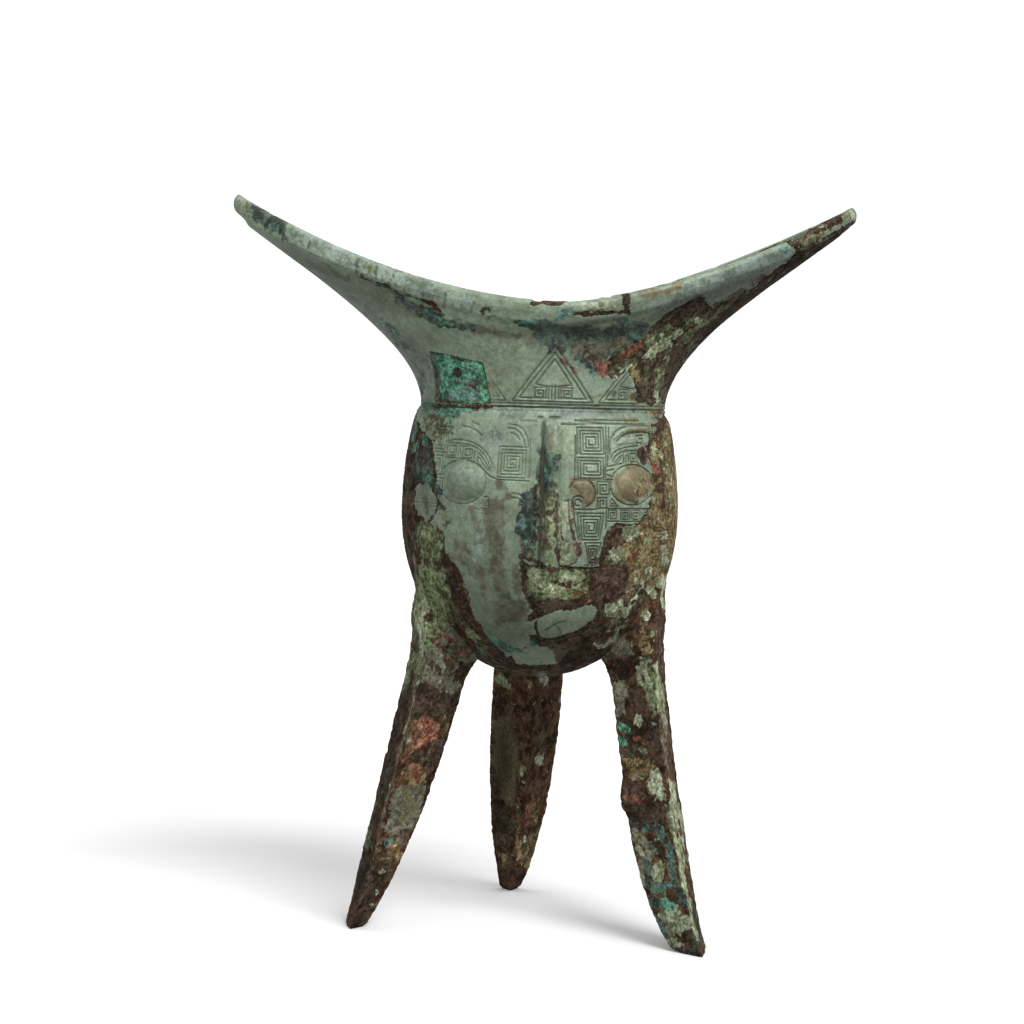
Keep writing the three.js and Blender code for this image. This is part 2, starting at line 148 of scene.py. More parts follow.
# Patina patches, placed by their pixels in the photograph. A stroke is a list of (x, y, half width),
# a blot is (x, y, half width, half height) and an area is a list of corners.
frontPatina = {
    "skin": {"ragged": 1.6, "soft": 1.5, "areas": [
        # mouth and neck
        [(215, 175), (540, 275), (640, 280), (870, 195), (870, 214), (800, 248), (775, 268), (762, 276), (750, 288),
         (738, 295), (722, 303), (706, 310), (697, 297), (688, 302), (668, 312), (655, 322), (648, 333), (630, 342),
         (616, 348), (606, 360), (600, 372), (612, 378), (628, 370), (636, 384), (637, 400), (640, 412), (390, 412),
         (380, 340), (300, 270), (215, 215)],
        # bowl
        [(446, 404), (690, 404), (672, 412), (660, 420), (648, 428), (645, 440), (646, 455), (650, 470), (652, 490),
         (650, 505), (640, 522), (618, 523), (606, 530), (603, 545), (598, 566), (585, 566), (560, 567), (536, 566),
         (520, 560), (522, 575), (527, 590), (530, 603), (532, 612), (527, 622), (529, 635), (533, 643), (520, 650),
         (508, 656), (497, 645), (487, 635), (480, 627), (475, 615), (468, 600), (463, 585), (461, 573), (455, 565),
         (447, 555), (444, 540), (438, 530), (430, 523), (438, 510), (441, 500), (437, 488), (438, 470), (434, 455),
         (432, 441), (446, 436)],
        [(420, 487), (428, 482), (434, 490), (440, 503), (437, 513), (428, 522), (419, 514), (415, 504)],
        [(537, 621), (548, 614), (563, 609), (580, 607), (590, 603), (597, 609), (592, 618), (583, 626), (567, 633),
         (556, 637), (540, 635)], [(527, 622), (536, 620), (536, 634), (529, 635)],
        [(512, 652), (530, 645), (550, 647), (568, 645), (565, 655), (555, 663), (535, 665), (518, 662)],
        [(406, 406), (446, 406), (448, 438), (436, 441), (428, 436), (418, 428)],
    ]},
    "bare": {"ragged": 2, "soft": 2, "areas": [
        [(790, 241), (800, 232), (806, 244), (796, 252)],
    ], "strokes": [
        [(362, 277, 0.6), (380, 285, 1), (400, 293, 1), (425, 302, 1.2), (442, 312, 1)],
        [(425, 372, 2.5), (422, 392, 3)], [(433, 407, 1.6), (494, 406, 1.6)], [(535, 302, 1.5), (562, 303, 3)],
        [(572, 312, 2), (628, 312, 2)], [(625, 295, 4), (627, 312, 3)], [(690, 306, 4), (698, 300, 5), (706, 308, 4)],
        [(790, 241, 3), (815, 230, 4), (842, 217, 3)], [(586, 346, 2), (592, 344, 2)],
        [(535, 490, 1.5), (535, 530, 1.5), (530, 552, 1.5)],
    ], "blots": [
        (487, 311, 3, 3), (642, 455, 6, 9),
    ]},
    "worn": {"ragged": 3, "soft": 9, "areas": [
        [(395, 500), (455, 506), (505, 512), (520, 560), (520, 580), (400, 590)],
        [(395, 420), (436, 420), (440, 500), (395, 500)], [(482, 362), (504, 370), (506, 396), (482, 396)],
        [(654, 456), (690, 452), (694, 418), (745, 418), (745, 580), (690, 580), (682, 522), (654, 520)],
        [(604, 529), (640, 525), (644, 580), (604, 580)], [(395, 340), (500, 345), (500, 404), (395, 404)],
        [(636, 330), (690, 330), (690, 404), (640, 404)],
        [(565, 320), (640, 320), (640, 345), (600, 372), (575, 360)],
    ]},
    # a pale bluish-grey patina, and on the rim bands and the shoulder's top a painted sheen of the light
    "frost_and_sheen": {"ragged": 3, "soft": 9, "areas": [
        [(290, 222), (330, 240), (380, 262), (430, 282), (480, 296), (478, 308), (440, 303), (400, 291), (340, 268),
         (288, 240)], [(478, 426), (508, 428), (506, 440), (488, 442), (478, 434)],
        [(470, 408), (640, 406), (640, 416), (500, 418)],
        [(300, 262), (350, 292), (396, 320), (420, 350), (434, 352), (430, 404), (416, 400), (404, 352), (360, 312)],
        [(640, 318), (700, 296), (790, 254), (786, 244), (700, 276), (650, 290)],
    ], "strokes": [
        [(446, 470, 3), (470, 470, 4)], [(480, 540, 3), (470, 575, 4)],
    ]},
    "grey": {"ragged": 3, "soft": 10, "areas": [
        [(440, 626), (462, 640), (474, 657), (460, 664), (440, 652), (430, 640)],
        [(399, 786), (424, 783), (426, 800), (418, 822), (405, 836), (392, 838), (386, 830), (389, 806)],
        [(609, 682), (624, 676), (629, 690), (626, 712), (616, 715), (612, 700)],
        [(560, 338), (600, 334), (646, 330), (640, 346), (612, 352), (598, 364), (584, 362), (570, 352)],
        [(425, 650), (440, 644), (460, 662), (457, 690), (444, 694), (430, 684), (420, 684), (420, 668)],
        [(608, 610), (618, 608), (620, 620), (610, 622)], [(405, 737), (414, 734), (416, 748), (406, 750)],
        [(610, 640), (632, 634), (634, 656), (612, 660)],
    ], "strokes": [
        # the thin stroke from (418, 684) down the left leg's ridge is a painted highlight along that edge
        [(418, 684, 0.4), (408, 724, 0.8), (398, 757, 0.6), (387, 804, 0.8), (377, 848, 0.8), (366, 877, 0.8),
         (356, 910, 0.6)], [(409, 540, 3), (411, 575, 3), (414, 610, 3), (414, 640, 3)],
        [(658, 690, 3), (664, 730, 3), (668, 770, 3)], [(538, 668, 5), (546, 684, 4)],
        [(430, 750, 2.5), (426, 758, 2.5)], [(636, 835, 4), (648, 850, 5), (640, 872, 4)],
    ]},
    "bronze": {"ragged": 2.6, "soft": 9, "areas": [
        [(569, 482), (578, 478), (590, 480), (596, 490), (595, 504), (586, 508), (580, 496), (569, 494)],
        [(612, 476), (622, 465), (640, 464), (651, 476), (650, 490), (640, 502), (622, 502), (612, 492)],
        [(492, 722), (508, 714), (518, 745), (518, 790), (514, 808), (500, 796), (491, 770)],
    ], "strokes": [
        # the stroke down the flange's ridge, (551, 430) to (552, 455), is a painted highlight in the metal's pinkish
        # tones
        [(618, 436, 2), (628, 431, 3), (645, 430, 2.5)], [(551, 430, 2), (552, 455, 2)],
        [(580, 420.5, 1), (636, 420, 1)], [(640, 292, 4), (668, 290, 6), (680, 284, 3)],
        [(406, 794, 5), (414, 806, 5), (402, 822, 4)],
    ]},
    "olive": {"ragged": 3.2, "soft": 9, "areas": [
        [(416, 523), (426, 520), (438, 526), (444, 540), (445, 555), (430, 561), (416, 556), (412, 538)],
        [(416, 566), (430, 562), (446, 572), (453, 592), (449, 608), (438, 616), (424, 612), (416, 592)],
        [(418, 410), (441, 414), (447, 436), (434, 442), (424, 432)],
        [(540, 486), (557, 482), (558, 566), (541, 566)],
        [(527, 569), (560, 571), (594, 568), (595, 580), (580, 590), (562, 601), (540, 602), (529, 592)],
        [(416, 600), (446, 596), (450, 610), (438, 636), (427, 650), (419, 690), (412, 690), (416, 640)],
        [(648, 330), (668, 325), (676, 334), (664, 350), (648, 360), (643, 348)],
        [(608, 545), (622, 542), (629, 552), (628, 563), (610, 563)],
        [(640, 668), (656, 660), (663, 684), (664, 712), (652, 704), (644, 688)],
    ], "strokes": [
        [(684, 880, 3), (691, 906, 3), (696, 940, 3)], [(372, 806, 4), (366, 846, 4)], [(411, 652, 3), (405, 688, 4)],
        [(760, 286, 1.2), (735, 300, 1.8), (705, 322, 2.4), (680, 345, 2.8), (664, 372, 2.4), (657, 398, 2)],
        [(688, 324, 2), (712, 310, 1.4)], [(666, 360, 1.4), (676, 346, 2), (692, 334, 1.4)],
        [(607, 351, 2.2), (618, 346, 2.6)], [(613, 372, 2), (624, 365, 3), (633, 360, 2)],
        [(746, 290, 1), (715, 308, 1.6), (690, 326, 2)], [(700, 345, 1.4), (680, 368, 2), (670, 396, 1.8)],
        [(366, 262, 3), (374, 270, 4)], [(803, 243, 3), (826, 236, 2)], [(470, 632, 5), (486, 648, 4)],
        [(599, 646, 2.4), (612, 638, 3), (621, 626, 3)], [(641, 356, 1.4), (648, 378, 1.6), (652, 400, 1.2)],
        [(656, 372, 1.4), (662, 392, 1.6)], [(672, 352, 1.6), (690, 332, 2), (712, 316, 1.8)],
        [(680, 356, 1), (704, 332, 1.2)], [(724, 306, 1.6), (752, 289, 1.4), (776, 274, 1)],
        [(647, 696, 3), (652, 716, 2)], [(645, 612, 2.4), (648, 624, 2.4)], [(658, 590, 2), (661, 606, 2)],
        [(668, 808, 3), (675, 836, 3.6), (681, 866, 3.4), (686, 896, 2.6)], [(499, 677, 5), (510, 686, 3)],
        [(664, 916, 6), (684, 922, 7), (682, 932, 5)], [(672, 938, 3), (680, 948, 3)],
    ], "blots": [
        (487, 311, 4, 4), (530, 556, 8, 6), (447, 520, 5, 7), (636, 500, 5, 2.4), (643, 486, 5, 4),
    ]},
    "tan": {"ragged": 2.8, "soft": 8, "areas": [
        [(650, 440), (676, 422), (704, 432), (716, 456), (702, 478), (724, 502), (732, 528), (708, 542), (698, 570),
         (682, 580), (644, 582), (629, 578), (627, 564), (618, 558), (628, 540), (638, 526), (648, 512), (653, 482)],
        [(641, 631), (653, 630), (653, 655), (642, 655)], [(404, 767), (424, 764), (426, 782), (408, 786)],
        [(624, 760), (646, 758), (656, 766), (646, 776), (626, 782)],
    ], "strokes": [
        [(640, 492, 6), (648, 482, 5)], [(634, 366, 3), (637, 382, 3), (634, 400, 3)],
        [(448, 702, 1), (444, 716, 1.4), (446, 732, 1.6)], [(519, 798, 1.5), (517, 830, 2), (522, 860, 4)],
        [(534, 796, 2), (538, 826, 1.6), (528, 866, 4)], [(505, 856, 4), (511, 868, 3)],
        [(798, 238, 3), (822, 230, 3)], [(402, 757, 2), (412, 752, 2)], [(668, 908, 4), (680, 912, 4)],
    ], "blots": [
        (529, 687, 4, 5), (390, 855, 4, 5), (381, 858, 4, 4), (382, 843, 3, 4), (398, 853, 3, 4), (575, 592, 8, 4),
        (590, 590, 6, 4), (655, 412, 9, 4), (523, 772, 3, 4),
    ]},
    "teal": {"ragged": 2.8, "soft": 8, "areas": [
        [(518, 500), (530, 488), (537, 487), (539, 520), (536, 552), (521, 553), (517, 520)],
        # the next area, under the rim where the neck turns out, is partly teal patina, partly a painted shade band
        [(518, 318), (548, 318), (575, 326), (640, 322), (650, 328), (640, 337), (600, 338), (575, 344), (560, 356),
         (548, 345), (535, 336)],
        [(536, 450), (546, 445), (558, 456), (556, 470), (551, 488), (541, 498), (535, 480)],
        [(537, 462), (541, 462), (540, 540), (535, 540)],
        [(418, 436), (424, 432), (429, 441), (434, 459), (425, 466), (437, 474), (444, 492), (438, 495), (425, 483),
         (409, 478), (413, 460), (411, 447)],
        [(252, 203), (262, 207), (275, 213), (288, 224), (289, 241), (278, 239), (266, 231), (251, 218)],
    ], "strokes": [
        [(372, 284, 1.5), (382, 288, 2)], [(398, 298, 2), (416, 309, 3.4), (440, 322, 6), (474, 326, 1.8)],
        [(381, 318, 1.4), (394, 330, 3.6), (406, 349, 3)], [(517, 321, 3), (528, 325, 4)],
        [(535, 334, 4), (555, 348, 4)], [(578, 357, 4), (598, 372, 4)], [(625, 334, 5), (640, 344, 3)],
        [(420, 407, 3), (437, 408, 3), (478, 410, 2)], [(440, 411, 3), (450, 418, 3), (458, 414, 3)],
        [(450, 420, 2), (450, 432, 1)], [(474, 648, 2), (486, 658, 2)], [(648, 846, 4), (656, 852, 3)],
        [(648, 884, 5), (662, 888, 6)], [(658, 918, 3), (664, 934, 3)], [(676, 894, 3), (688, 902, 3)],
        [(634, 824, 3), (656, 828, 5), (668, 846, 5)], [(646, 862, 3), (654, 886, 6)],
        [(668, 852, 4), (674, 884, 6), (680, 900, 4)], [(666, 946, 4), (694, 952, 3)], [(692, 905, 3), (698, 942, 3)],
        [(652, 905, 4), (672, 902, 5)], [(386, 842, 4), (400, 842, 3)], [(391, 755, 2.4), (381, 792, 3)],
        [(634, 752, 2), (655, 756, 2)], [(652, 930, 3), (664, 944, 2)],
    ], "blots": [
        (357, 912, 2, 5), (553, 349, 5, 7), (442, 508, 3, 5),
    ]},
    "azure": {"ragged": 2.2, "soft": 5, "strokes": [
        [(552, 321, 2), (560, 314, 4.5), (570, 312, 3)], [(602, 318, 1.2), (616, 320, 2), (628, 320, 2)],
        [(632, 334, 3), (638, 340, 3)], [(582, 366, 1.6), (596, 374, 2)], [(781, 249, 3), (787, 246, 4)],
        [(273, 226, 3), (277, 230, 2)], [(533, 643, 2), (537, 645, 1.5)], [(412, 446, 1.4), (411, 453, 1.4)],
        [(550, 332, 1), (556, 342, 1.2)], [(407, 417, 4), (409, 428, 5), (408, 438, 4)],
    ], "blots": [
        (528, 500, 3, 5), (523, 522, 3, 7), (530, 512, 3, 4), (524, 546, 3, 4), (493, 316, 5, 3), (645, 830, 4, 4),
        (655, 838, 4, 3), (668, 886, 4, 5), (664, 902, 5, 4), (392, 842, 3, 3), (649, 572, 2, 5), (666, 556, 3, 7),
        (648, 660, 4, 1.6),
    ]},
    "pale": {"ragged": 2.2, "soft": 5.5, "areas": [
        [(573, 300), (600, 299), (619, 296), (619, 309), (576, 311)],
        [(628, 578), (636, 576), (647, 579), (646, 585), (636, 584)],
        [(642, 585), (652, 584), (656, 592), (654, 603), (648, 596)],
        [(619, 604), (632, 602), (630, 614), (625, 621)], [(653, 583), (662, 581), (664, 590), (656, 591)],
        [(650, 858), (660, 860), (665, 872), (662, 882), (656, 880), (651, 870)],
        [(664, 918), (680, 908), (688, 926), (684, 936), (668, 934)],
        [(606, 606), (622, 598), (626, 604), (614, 614), (606, 616)],
        [(656, 580), (668, 574), (668, 584), (662, 594)], [(560, 500), (569, 500), (571, 566), (561, 566)],
        [(620, 524), (636, 522), (642, 532), (634, 544), (624, 540)],
        [(418, 600), (426, 600), (425, 650), (419, 684), (416, 684), (419, 640)],
        [(646, 778), (658, 770), (668, 786), (670, 802), (656, 798), (645, 792)],
        [(235, 194), (246, 194), (253, 206), (250, 216), (238, 210)],
    ], "strokes": [
        [(668, 576, 0.8), (660, 583, 1), (650, 586, 1.2), (641, 588, 1.2), (635, 595, 1.2), (622, 602, 1.4),
         (612, 608, 2), (607, 614, 1.4)], [(628, 590, 2.4), (636, 587, 1.6)], [(660, 592, 1.4), (663, 606, 1.2)],
        [(646, 611, 1.8), (648, 621, 1.6)], [(619, 627, 2), (615, 638, 2), (605, 646, 1.6), (595, 645, 1.4)],
        [(436, 654, 3), (444, 668, 3), (440, 680, 2)], [(653, 633, 1), (653, 656, 1.2)],
        [(636, 642, 1.4), (635, 654, 2)], [(645, 659, 2), (651, 659, 2)],
        [(644, 664, 3), (650, 690, 3.4), (655, 716, 2)], [(656, 664, 2.4), (661, 690, 2.6), (665, 722, 2)],
        [(638, 668, 2), (640, 684, 2)], [(672, 782, 3), (676, 806, 3.4), (682, 832, 2.4)],
        [(675, 834, 1), (682, 870, 1.2), (686, 900, 1)], [(636, 838, 3), (640, 852, 3.4)],
        [(641, 872, 2), (643, 884, 2)], [(654, 862, 4), (660, 876, 5)],
        [(671, 800, 2), (680, 838, 2.4), (686, 866, 1.6)], [(665, 916, 2), (674, 922, 3), (684, 930, 2)],
        [(646, 358, 2), (660, 346, 4), (676, 333, 3)], [(536, 578, 3), (546, 586, 5), (556, 592, 3)],
        [(560, 578, 3), (574, 578, 2)], [(690, 900, 2), (694, 926, 3), (697, 940, 2)], [(652, 342, 3), (664, 336, 3)],
        [(664, 914, 4), (676, 910, 5), (686, 926, 5)], [(672, 940, 4), (682, 946, 3)],
        [(650, 352, 1), (644, 358, 1.4)], [(656, 388, 1), (660, 402, 1)], [(615, 376, 2), (630, 365, 2.6)],
        [(612, 552, 3), (622, 548, 2)],
    ], "blots": [
        (655, 452, 3, 4), (668, 470, 3, 5), (660, 520, 4, 3), (672, 500, 3, 6), (650, 540, 4, 3), (665, 535, 3, 4),
        (676, 480, 2, 8), (645, 558, 4, 3), (672, 562, 3, 4), (655, 498, 4, 2), (668, 445, 3, 4), (637, 572, 4, 2),
        (849, 213, 7, 8), (815, 226, 8, 2), (671, 944, 5, 4), (636, 720, 2, 5), (645, 752, 4, 2), (376, 880, 2, 3),
        (385, 872, 3, 2), (378, 893, 2, 3), (372, 905, 3, 2), (540, 758, 4, 6), (522, 771, 3, 5), (543, 680, 4, 5),
        (527, 848, 2, 7), (620, 556, 8, 6), (666, 552, 4, 10), (650, 570, 3, 5), (639, 722, 3, 5), (651, 431, 5, 3.4),
        (663, 458, 3, 5), (639, 500, 4, 2.6), (424, 728, 4, 1.6), (633, 779, 7, 1.4), (422, 532, 4, 5),
        (432, 606, 5, 5), (644, 410, 5, 3), (664, 342, 8, 7), (678, 332, 6, 4), (700, 322, 6, 3),
    ]},
    "malachite": {"ragged": 2, "soft": 2, "strokes": [
        [(621, 727, 4), (627, 729, 4)], [(621, 741, 4), (624, 745, 3)], [(666, 900, 4), (672, 908, 4)],
        [(438, 408, 1.5), (474, 411, 2)], [(417, 404, 2.4), (430, 406, 3), (442, 408, 2.4)],
        [(424, 410, 2), (430, 414, 1.4)], [(442, 412, 3), (456, 414, 2)],
        [(492, 639, 2), (508, 646, 4), (520, 649, 1.6)], [(449, 420, 1.5), (450, 430, 0.8)],
        [(545, 466, 2), (547, 478, 2)], [(420, 311, 1.6), (438, 320, 3), (452, 323, 1.4)],
        [(393, 329, 1), (404, 346, 1.6)], [(520, 321, 2), (536, 322, 1.6)], [(280, 228, 2), (286, 234, 2)],
    ], "blots": [
        (631, 733, 2, 2), (640, 742, 2, 2), (655, 724, 2, 2), (416, 446, 2, 4), (425, 441, 2, 3), (430, 478, 3, 2),
    ]},
    "dark": {"ragged": 2.4, "soft": 6, "areas": [
        [(586, 568), (627, 566), (628, 584), (612, 600), (600, 602), (588, 590)],
        [(605, 552), (608, 534), (614, 526), (624, 527), (627, 536), (618, 544), (610, 556)],
        [(540, 640), (580, 634), (640, 626), (640, 632), (600, 640), (606, 664), (560, 662)],
        [(636, 445), (649, 446), (649, 463), (637, 463)],
        [(414, 688), (420, 683), (432, 683), (441, 691), (458, 698), (454, 714), (440, 716), (420, 718), (411, 712)],
        [(441, 551), (449, 556), (459, 572), (464, 588), (470, 604), (480, 624), (488, 640), (476, 634), (462, 616),
         (455, 600), (450, 580)], [(437, 736), (447, 732), (444, 752), (432, 774), (427, 766)],
        [(408, 754), (422, 750), (420, 764), (408, 766)], [(620, 716), (660, 718), (663, 750), (624, 752)],
        [(622, 784), (644, 784), (646, 800), (668, 806), (668, 820), (630, 822)],
        [(602, 668), (626, 664), (640, 662), (632, 680), (610, 684)],
        [(653, 600), (660, 604), (661, 656), (655, 656)], [(402, 832), (414, 830), (408, 846), (400, 846)],
        [(627, 688), (636, 684), (644, 700), (646, 720), (634, 718)],
        [(366, 862), (392, 862), (386, 880), (368, 912), (352, 924), (358, 890)],
        [(494, 806), (513, 810), (512, 846), (496, 846)],
    ], "strokes": [
        [(553, 342, 3), (559, 352, 1.5)], [(404, 500, 4), (407, 530, 4), (407, 556, 3)],
        [(418, 440, 2), (421, 466, 3)],
        [(480, 634, 4), (496, 652, 4), (516, 665, 3), (545, 668, 2.5), (566, 660, 2.5), (572, 646, 3)],
        [(521, 562, 1.6), (525, 580, 2), (530, 598, 3), (536, 612, 3)],
        [(540, 608, 3), (560, 604, 3), (592, 598, 2.5)], [(600, 604, 3), (598, 620, 4), (576, 634, 4), (552, 641, 3)],
        [(698, 299, 4), (690, 308, 5), (676, 318, 4), (660, 328, 3), (644, 340, 3)], [(700, 336, 4), (760, 292, 4)],
        [(676, 352, 6), (672, 384, 6)], [(650, 362, 3), (654, 398, 3)], [(404, 695, 5), (394, 740, 4), (384, 780, 3)],
        [(604, 668, 2), (655, 656, 1.4)], [(552, 581, 1.4), (566, 586, 0.8)], [(570, 584, 1.6), (592, 578, 1.6)],
        [(361, 268, 1), (366, 278, 1.2), (380, 285, 0.8), (425, 302, 0.9), (440, 311, 0.9)],
        [(572, 312, 1.2), (628, 312, 1.4)], [(624, 296, 3), (628, 312, 2.4)],
        [(788, 243, 3), (812, 232, 3), (838, 219, 4)], [(762, 274, 3), (738, 292, 3), (716, 306, 3)],
        [(570, 500, 1.2), (573, 530, 1.6), (580, 552, 3)], [(536, 488, 1.2), (538, 540, 1.4)],
        [(520, 556, 2), (556, 571, 2)], [(604, 532, 2), (600, 556, 2), (590, 562, 2)],
        [(556, 495, 2), (557, 540, 2.2), (560, 566, 2)], [(564, 500, 0.8), (562, 530, 1.4), (566, 554, 1.4)],
        [(424, 610, 3), (428, 622, 3)], [(362, 860, 3), (355, 895, 3)], [(688, 862, 2), (692, 890, 2)],
        [(690, 930, 3), (680, 954, 4)],
    ], "blots": [
        (656, 474, 3.4, 6), (660, 490, 6, 5), (663, 503, 4, 6), (650, 504, 3, 3), (588, 348, 4, 4), (590, 357, 6, 4),
        (548, 514, 3, 3), (545, 540, 3, 4), (644, 596, 3, 3), (440, 642, 4, 3), (446, 648, 6, 3), (430, 664, 3, 4),
        (455, 676, 3, 6), (460, 664, 4, 6), (438, 668, 4, 3), (658, 416, 4, 3),
    ]},
    "red": {"ragged": 2.4, "soft": 8, "areas": [
        [(524, 800), (532, 800), (532, 828), (525, 832)],
        [(415, 722), (427, 716), (437, 723), (436, 737), (424, 745), (412, 752), (409, 746), (420, 735)],
    ], "strokes": [
        [(640, 346, 2.2), (628, 352, 4), (618, 358, 3)], [(606, 362, 4), (598, 364, 5), (604, 374, 3)],
        [(537, 301, 1), (560, 302, 1.4)], [(634, 738, 2), (648, 744, 2.4)], [(570, 500, 1), (572, 530, 1.2)],
        [(628, 797, 3), (640, 801, 4)], [(459, 575, 1.2), (465, 592, 2), (472, 608, 1.2)],
        [(560, 604, 1), (590, 600, 1.2)], [(434, 405, 0.8), (492, 405, 1)], [(622, 504, 1), (642, 504, 1)],
        [(572, 542, 1.2), (578, 552, 1.4)], [(562, 361, 1.4), (575, 372, 1.6)], [(630, 400, 2), (636, 410, 3)],
        [(430, 640, 2), (444, 650, 2)], [(428, 662, 2), (434, 672, 2)], [(410, 750, 1.4), (405, 758, 1.4)],
        [(414, 768, 4), (418, 778, 4)], [(436, 634, 2), (446, 641, 3)], [(441, 656, 2), (452, 661, 3)],
        [(455, 650, 3), (463, 656, 2)], [(448, 669, 2), (457, 673, 2)],
    ], "blots": [
        (521, 544, 2, 3), (391, 852, 2, 4), (381, 857, 2, 3), (349, 922, 3, 6), (455, 424, 1.5, 1.5),
        (510, 882, 6, 5), (434, 438, 2, 1.5), (540, 538, 2, 6), (657, 470, 2, 4), (633, 557, 4, 4), (646, 595, 2, 3),
        (624, 531, 2.4, 2.4), (452, 668, 3, 4), (403, 760, 2, 4),
    ]},
    # darker, browner skin: partly real stain, partly painted shade low on the bowl and under the left lip
    "stain_and_shade": {"ragged": 2.4, "soft": 8, "areas": [
        [(490, 600), (526, 598), (528, 622), (496, 628)],
        [(478, 500), (504, 497), (508, 512), (500, 530), (492, 548), (484, 538)],
        [(488, 544), (504, 538), (506, 566), (514, 600), (500, 604), (488, 570)],
        [(453, 541), (468, 540), (469, 552), (456, 554)], [(360, 256), (378, 262), (377, 280), (360, 277)],
        [(478, 566), (486, 568), (487, 600), (480, 596)],
    ], "strokes": [
        [(500, 484, 5), (508, 496, 5)], [(488, 506, 5), (500, 520, 6), (490, 550, 6)], [(454, 557, 4), (472, 566, 5)],
        [(474, 562, 3), (480, 574, 4)], [(514, 566, 5), (520, 590, 6)], [(470, 508, 4), (476, 530, 4)],
        [(428, 500, 4), (430, 512, 4)], [(582, 492, 7), (588, 500, 6)], [(412, 350, 4), (424, 390, 4)],
        [(474, 330, 4), (520, 336, 3)], [(390, 290, 4), (420, 310, 5)], [(310, 262, 4), (350, 278, 5)],
    ], "blots": [
        (493, 385, 6, 4), (600, 396, 14, 3), (483, 436, 3, 3),
    ]},
}

# Hairlines and the gaps along old repairs, as lines of pixels
frontCracks = [
    [(397, 271), (394, 280), (388, 287)], [(424, 281), (424, 296), (422, 309)], [(449, 291), (444, 308)],
    [(476, 299), (472, 311)], [(361, 258), (357, 268), (359, 277)], [(310, 240), (307, 247)],
    [(377, 263), (376, 279)], [(604, 668), (628, 662), (644, 660), (656, 656)], [(545, 629), (556, 622), (566, 619)],
    [(560, 632), (553, 622)], [(585, 566), (628, 567)], [(583, 570), (628, 571)], [(590, 562.5), (612, 562)],
    [(433, 407.4), (494, 406.4)], [(500, 406), (600, 406.4)],
    [(444, 560), (452, 566), (459, 574), (462, 588), (468, 602)],
]
# Where the photograph's metal is darker or brighter than its layers alone: mostly painted shade and painted highlights,
# some patina tone; x, y, half width, half height, change
frontShade = [
    (423, 424, 20, 16, 0.05), (510, 434, 24, 22, -0.28), (462, 482, 36, 28, -0.12), (590, 412, 34, 6, -0.6),
    (470, 535, 60, 30, -0.08), (500, 540, 24, 30, -0.12), (567, 442, 8, 26, 0.25), (592, 452, 18, 28, 0.1),
    (594, 452, 50, 42, 0.28), (500, 585, 40, 24, -0.2), (508, 628, 36, 24, -0.4), (560, 655, 50, 14, -0.1),
    (525, 690, 26, 24, 0.1), (610, 448, 8, 20, -0.15), (645, 485, 10, 60, 0.05), (330, 250, 60, 9, 0.1),
    (770, 254, 50, 12, -0.3), (410, 535, 12, 40, -0.2), (630, 295, 36, 12, -0.3), (550, 384, 14, 12, 0.15),
    (503, 755, 11, 44, -1.2), (497, 800, 12, 34, -0.5), (583, 495, 11, 12, -0.2), (545, 470, 12, 12, -0.25),
    (590, 319, 44, 5, -0.4), (600, 350, 34, 14, -0.6), (505, 372, 44, 30, 0.3), (620, 410, 40, 7, -0.1),
    (578, 446, 14, 24, 0.15), (534, 462, 5, 30, -0.2), (515, 455, 16, 28, 0.05), (408, 475, 10, 26, -0.3),
    (426, 492, 12, 14, -0.4), (562, 470, 10, 16, -0.3), (582, 524, 13, 18, 0.2), (522, 582, 14, 30, -0.15),
    (490, 612, 16, 14, -0.15), (846, 212, 14, 14, -0.05), (556, 585, 26, 14, 0.5), (516, 636, 16, 14, -0.25),
    (642, 600, 24, 24, 0.65), (420, 365, 16, 40, -0.3), (590, 331, 54, 6, -0.75), (655, 670, 10, 40, 0.3),
    (432, 580, 14, 14, 0.15), (424, 628, 14, 26, 0.2), (440, 675, 20, 20, -0.1), (422, 735, 18, 14, 0.9),
    (664, 895, 24, 46, 0.2), (412, 775, 12, 12, 0.5), (393, 846, 12, 12, 0.5), (430, 318, 40, 7, 0.35),
    (244, 204, 10, 12, -0.3), (605, 366, 10, 9, 0.3), (608, 582, 18, 14, 0.3), (660, 376, 16, 34, 0.4),
    (432, 702, 14, 10, 0.45), (655, 832, 14, 10, 0.5), (462, 482, 22, 22, -0.15), (549, 526, 7, 34, 0.4),
    (566, 530, 5, 30, -0.2), (540, 412, 36, 6, 0.15), (631, 484, 15, 15, 0.15), (520, 848, 14, 20, 0.2),
    (526, 524, 10, 16, -0.55), (580, 326, 34, 6, -0.3), (618, 692, 9, 16, 0.3), (684, 925, 14, 18, -0.4),
    (656, 868, 6, 8, 0.4), (677, 860, 6, 30, 0.3), (545, 585, 14, 10, 0.35), (392, 852, 10, 9, 0.45),
    (626, 352, 8, 6, 0.35), (632, 362, 20, 12, 0.35), (740, 272, 60, 9, -0.1), (533, 770, 14, 50, 0.2),
    (520, 850, 14, 14, 0.35), (620, 730, 8, 20, 0.5), (400, 840, 16, 16, 0.3), (652, 345, 12, 10, 0.3),
    (635, 380, 6, 20, 0.3), (620, 548, 10, 12, 0.3), (658, 788, 12, 16, 0.25), (620, 388, 20, 8, -0.15),
]
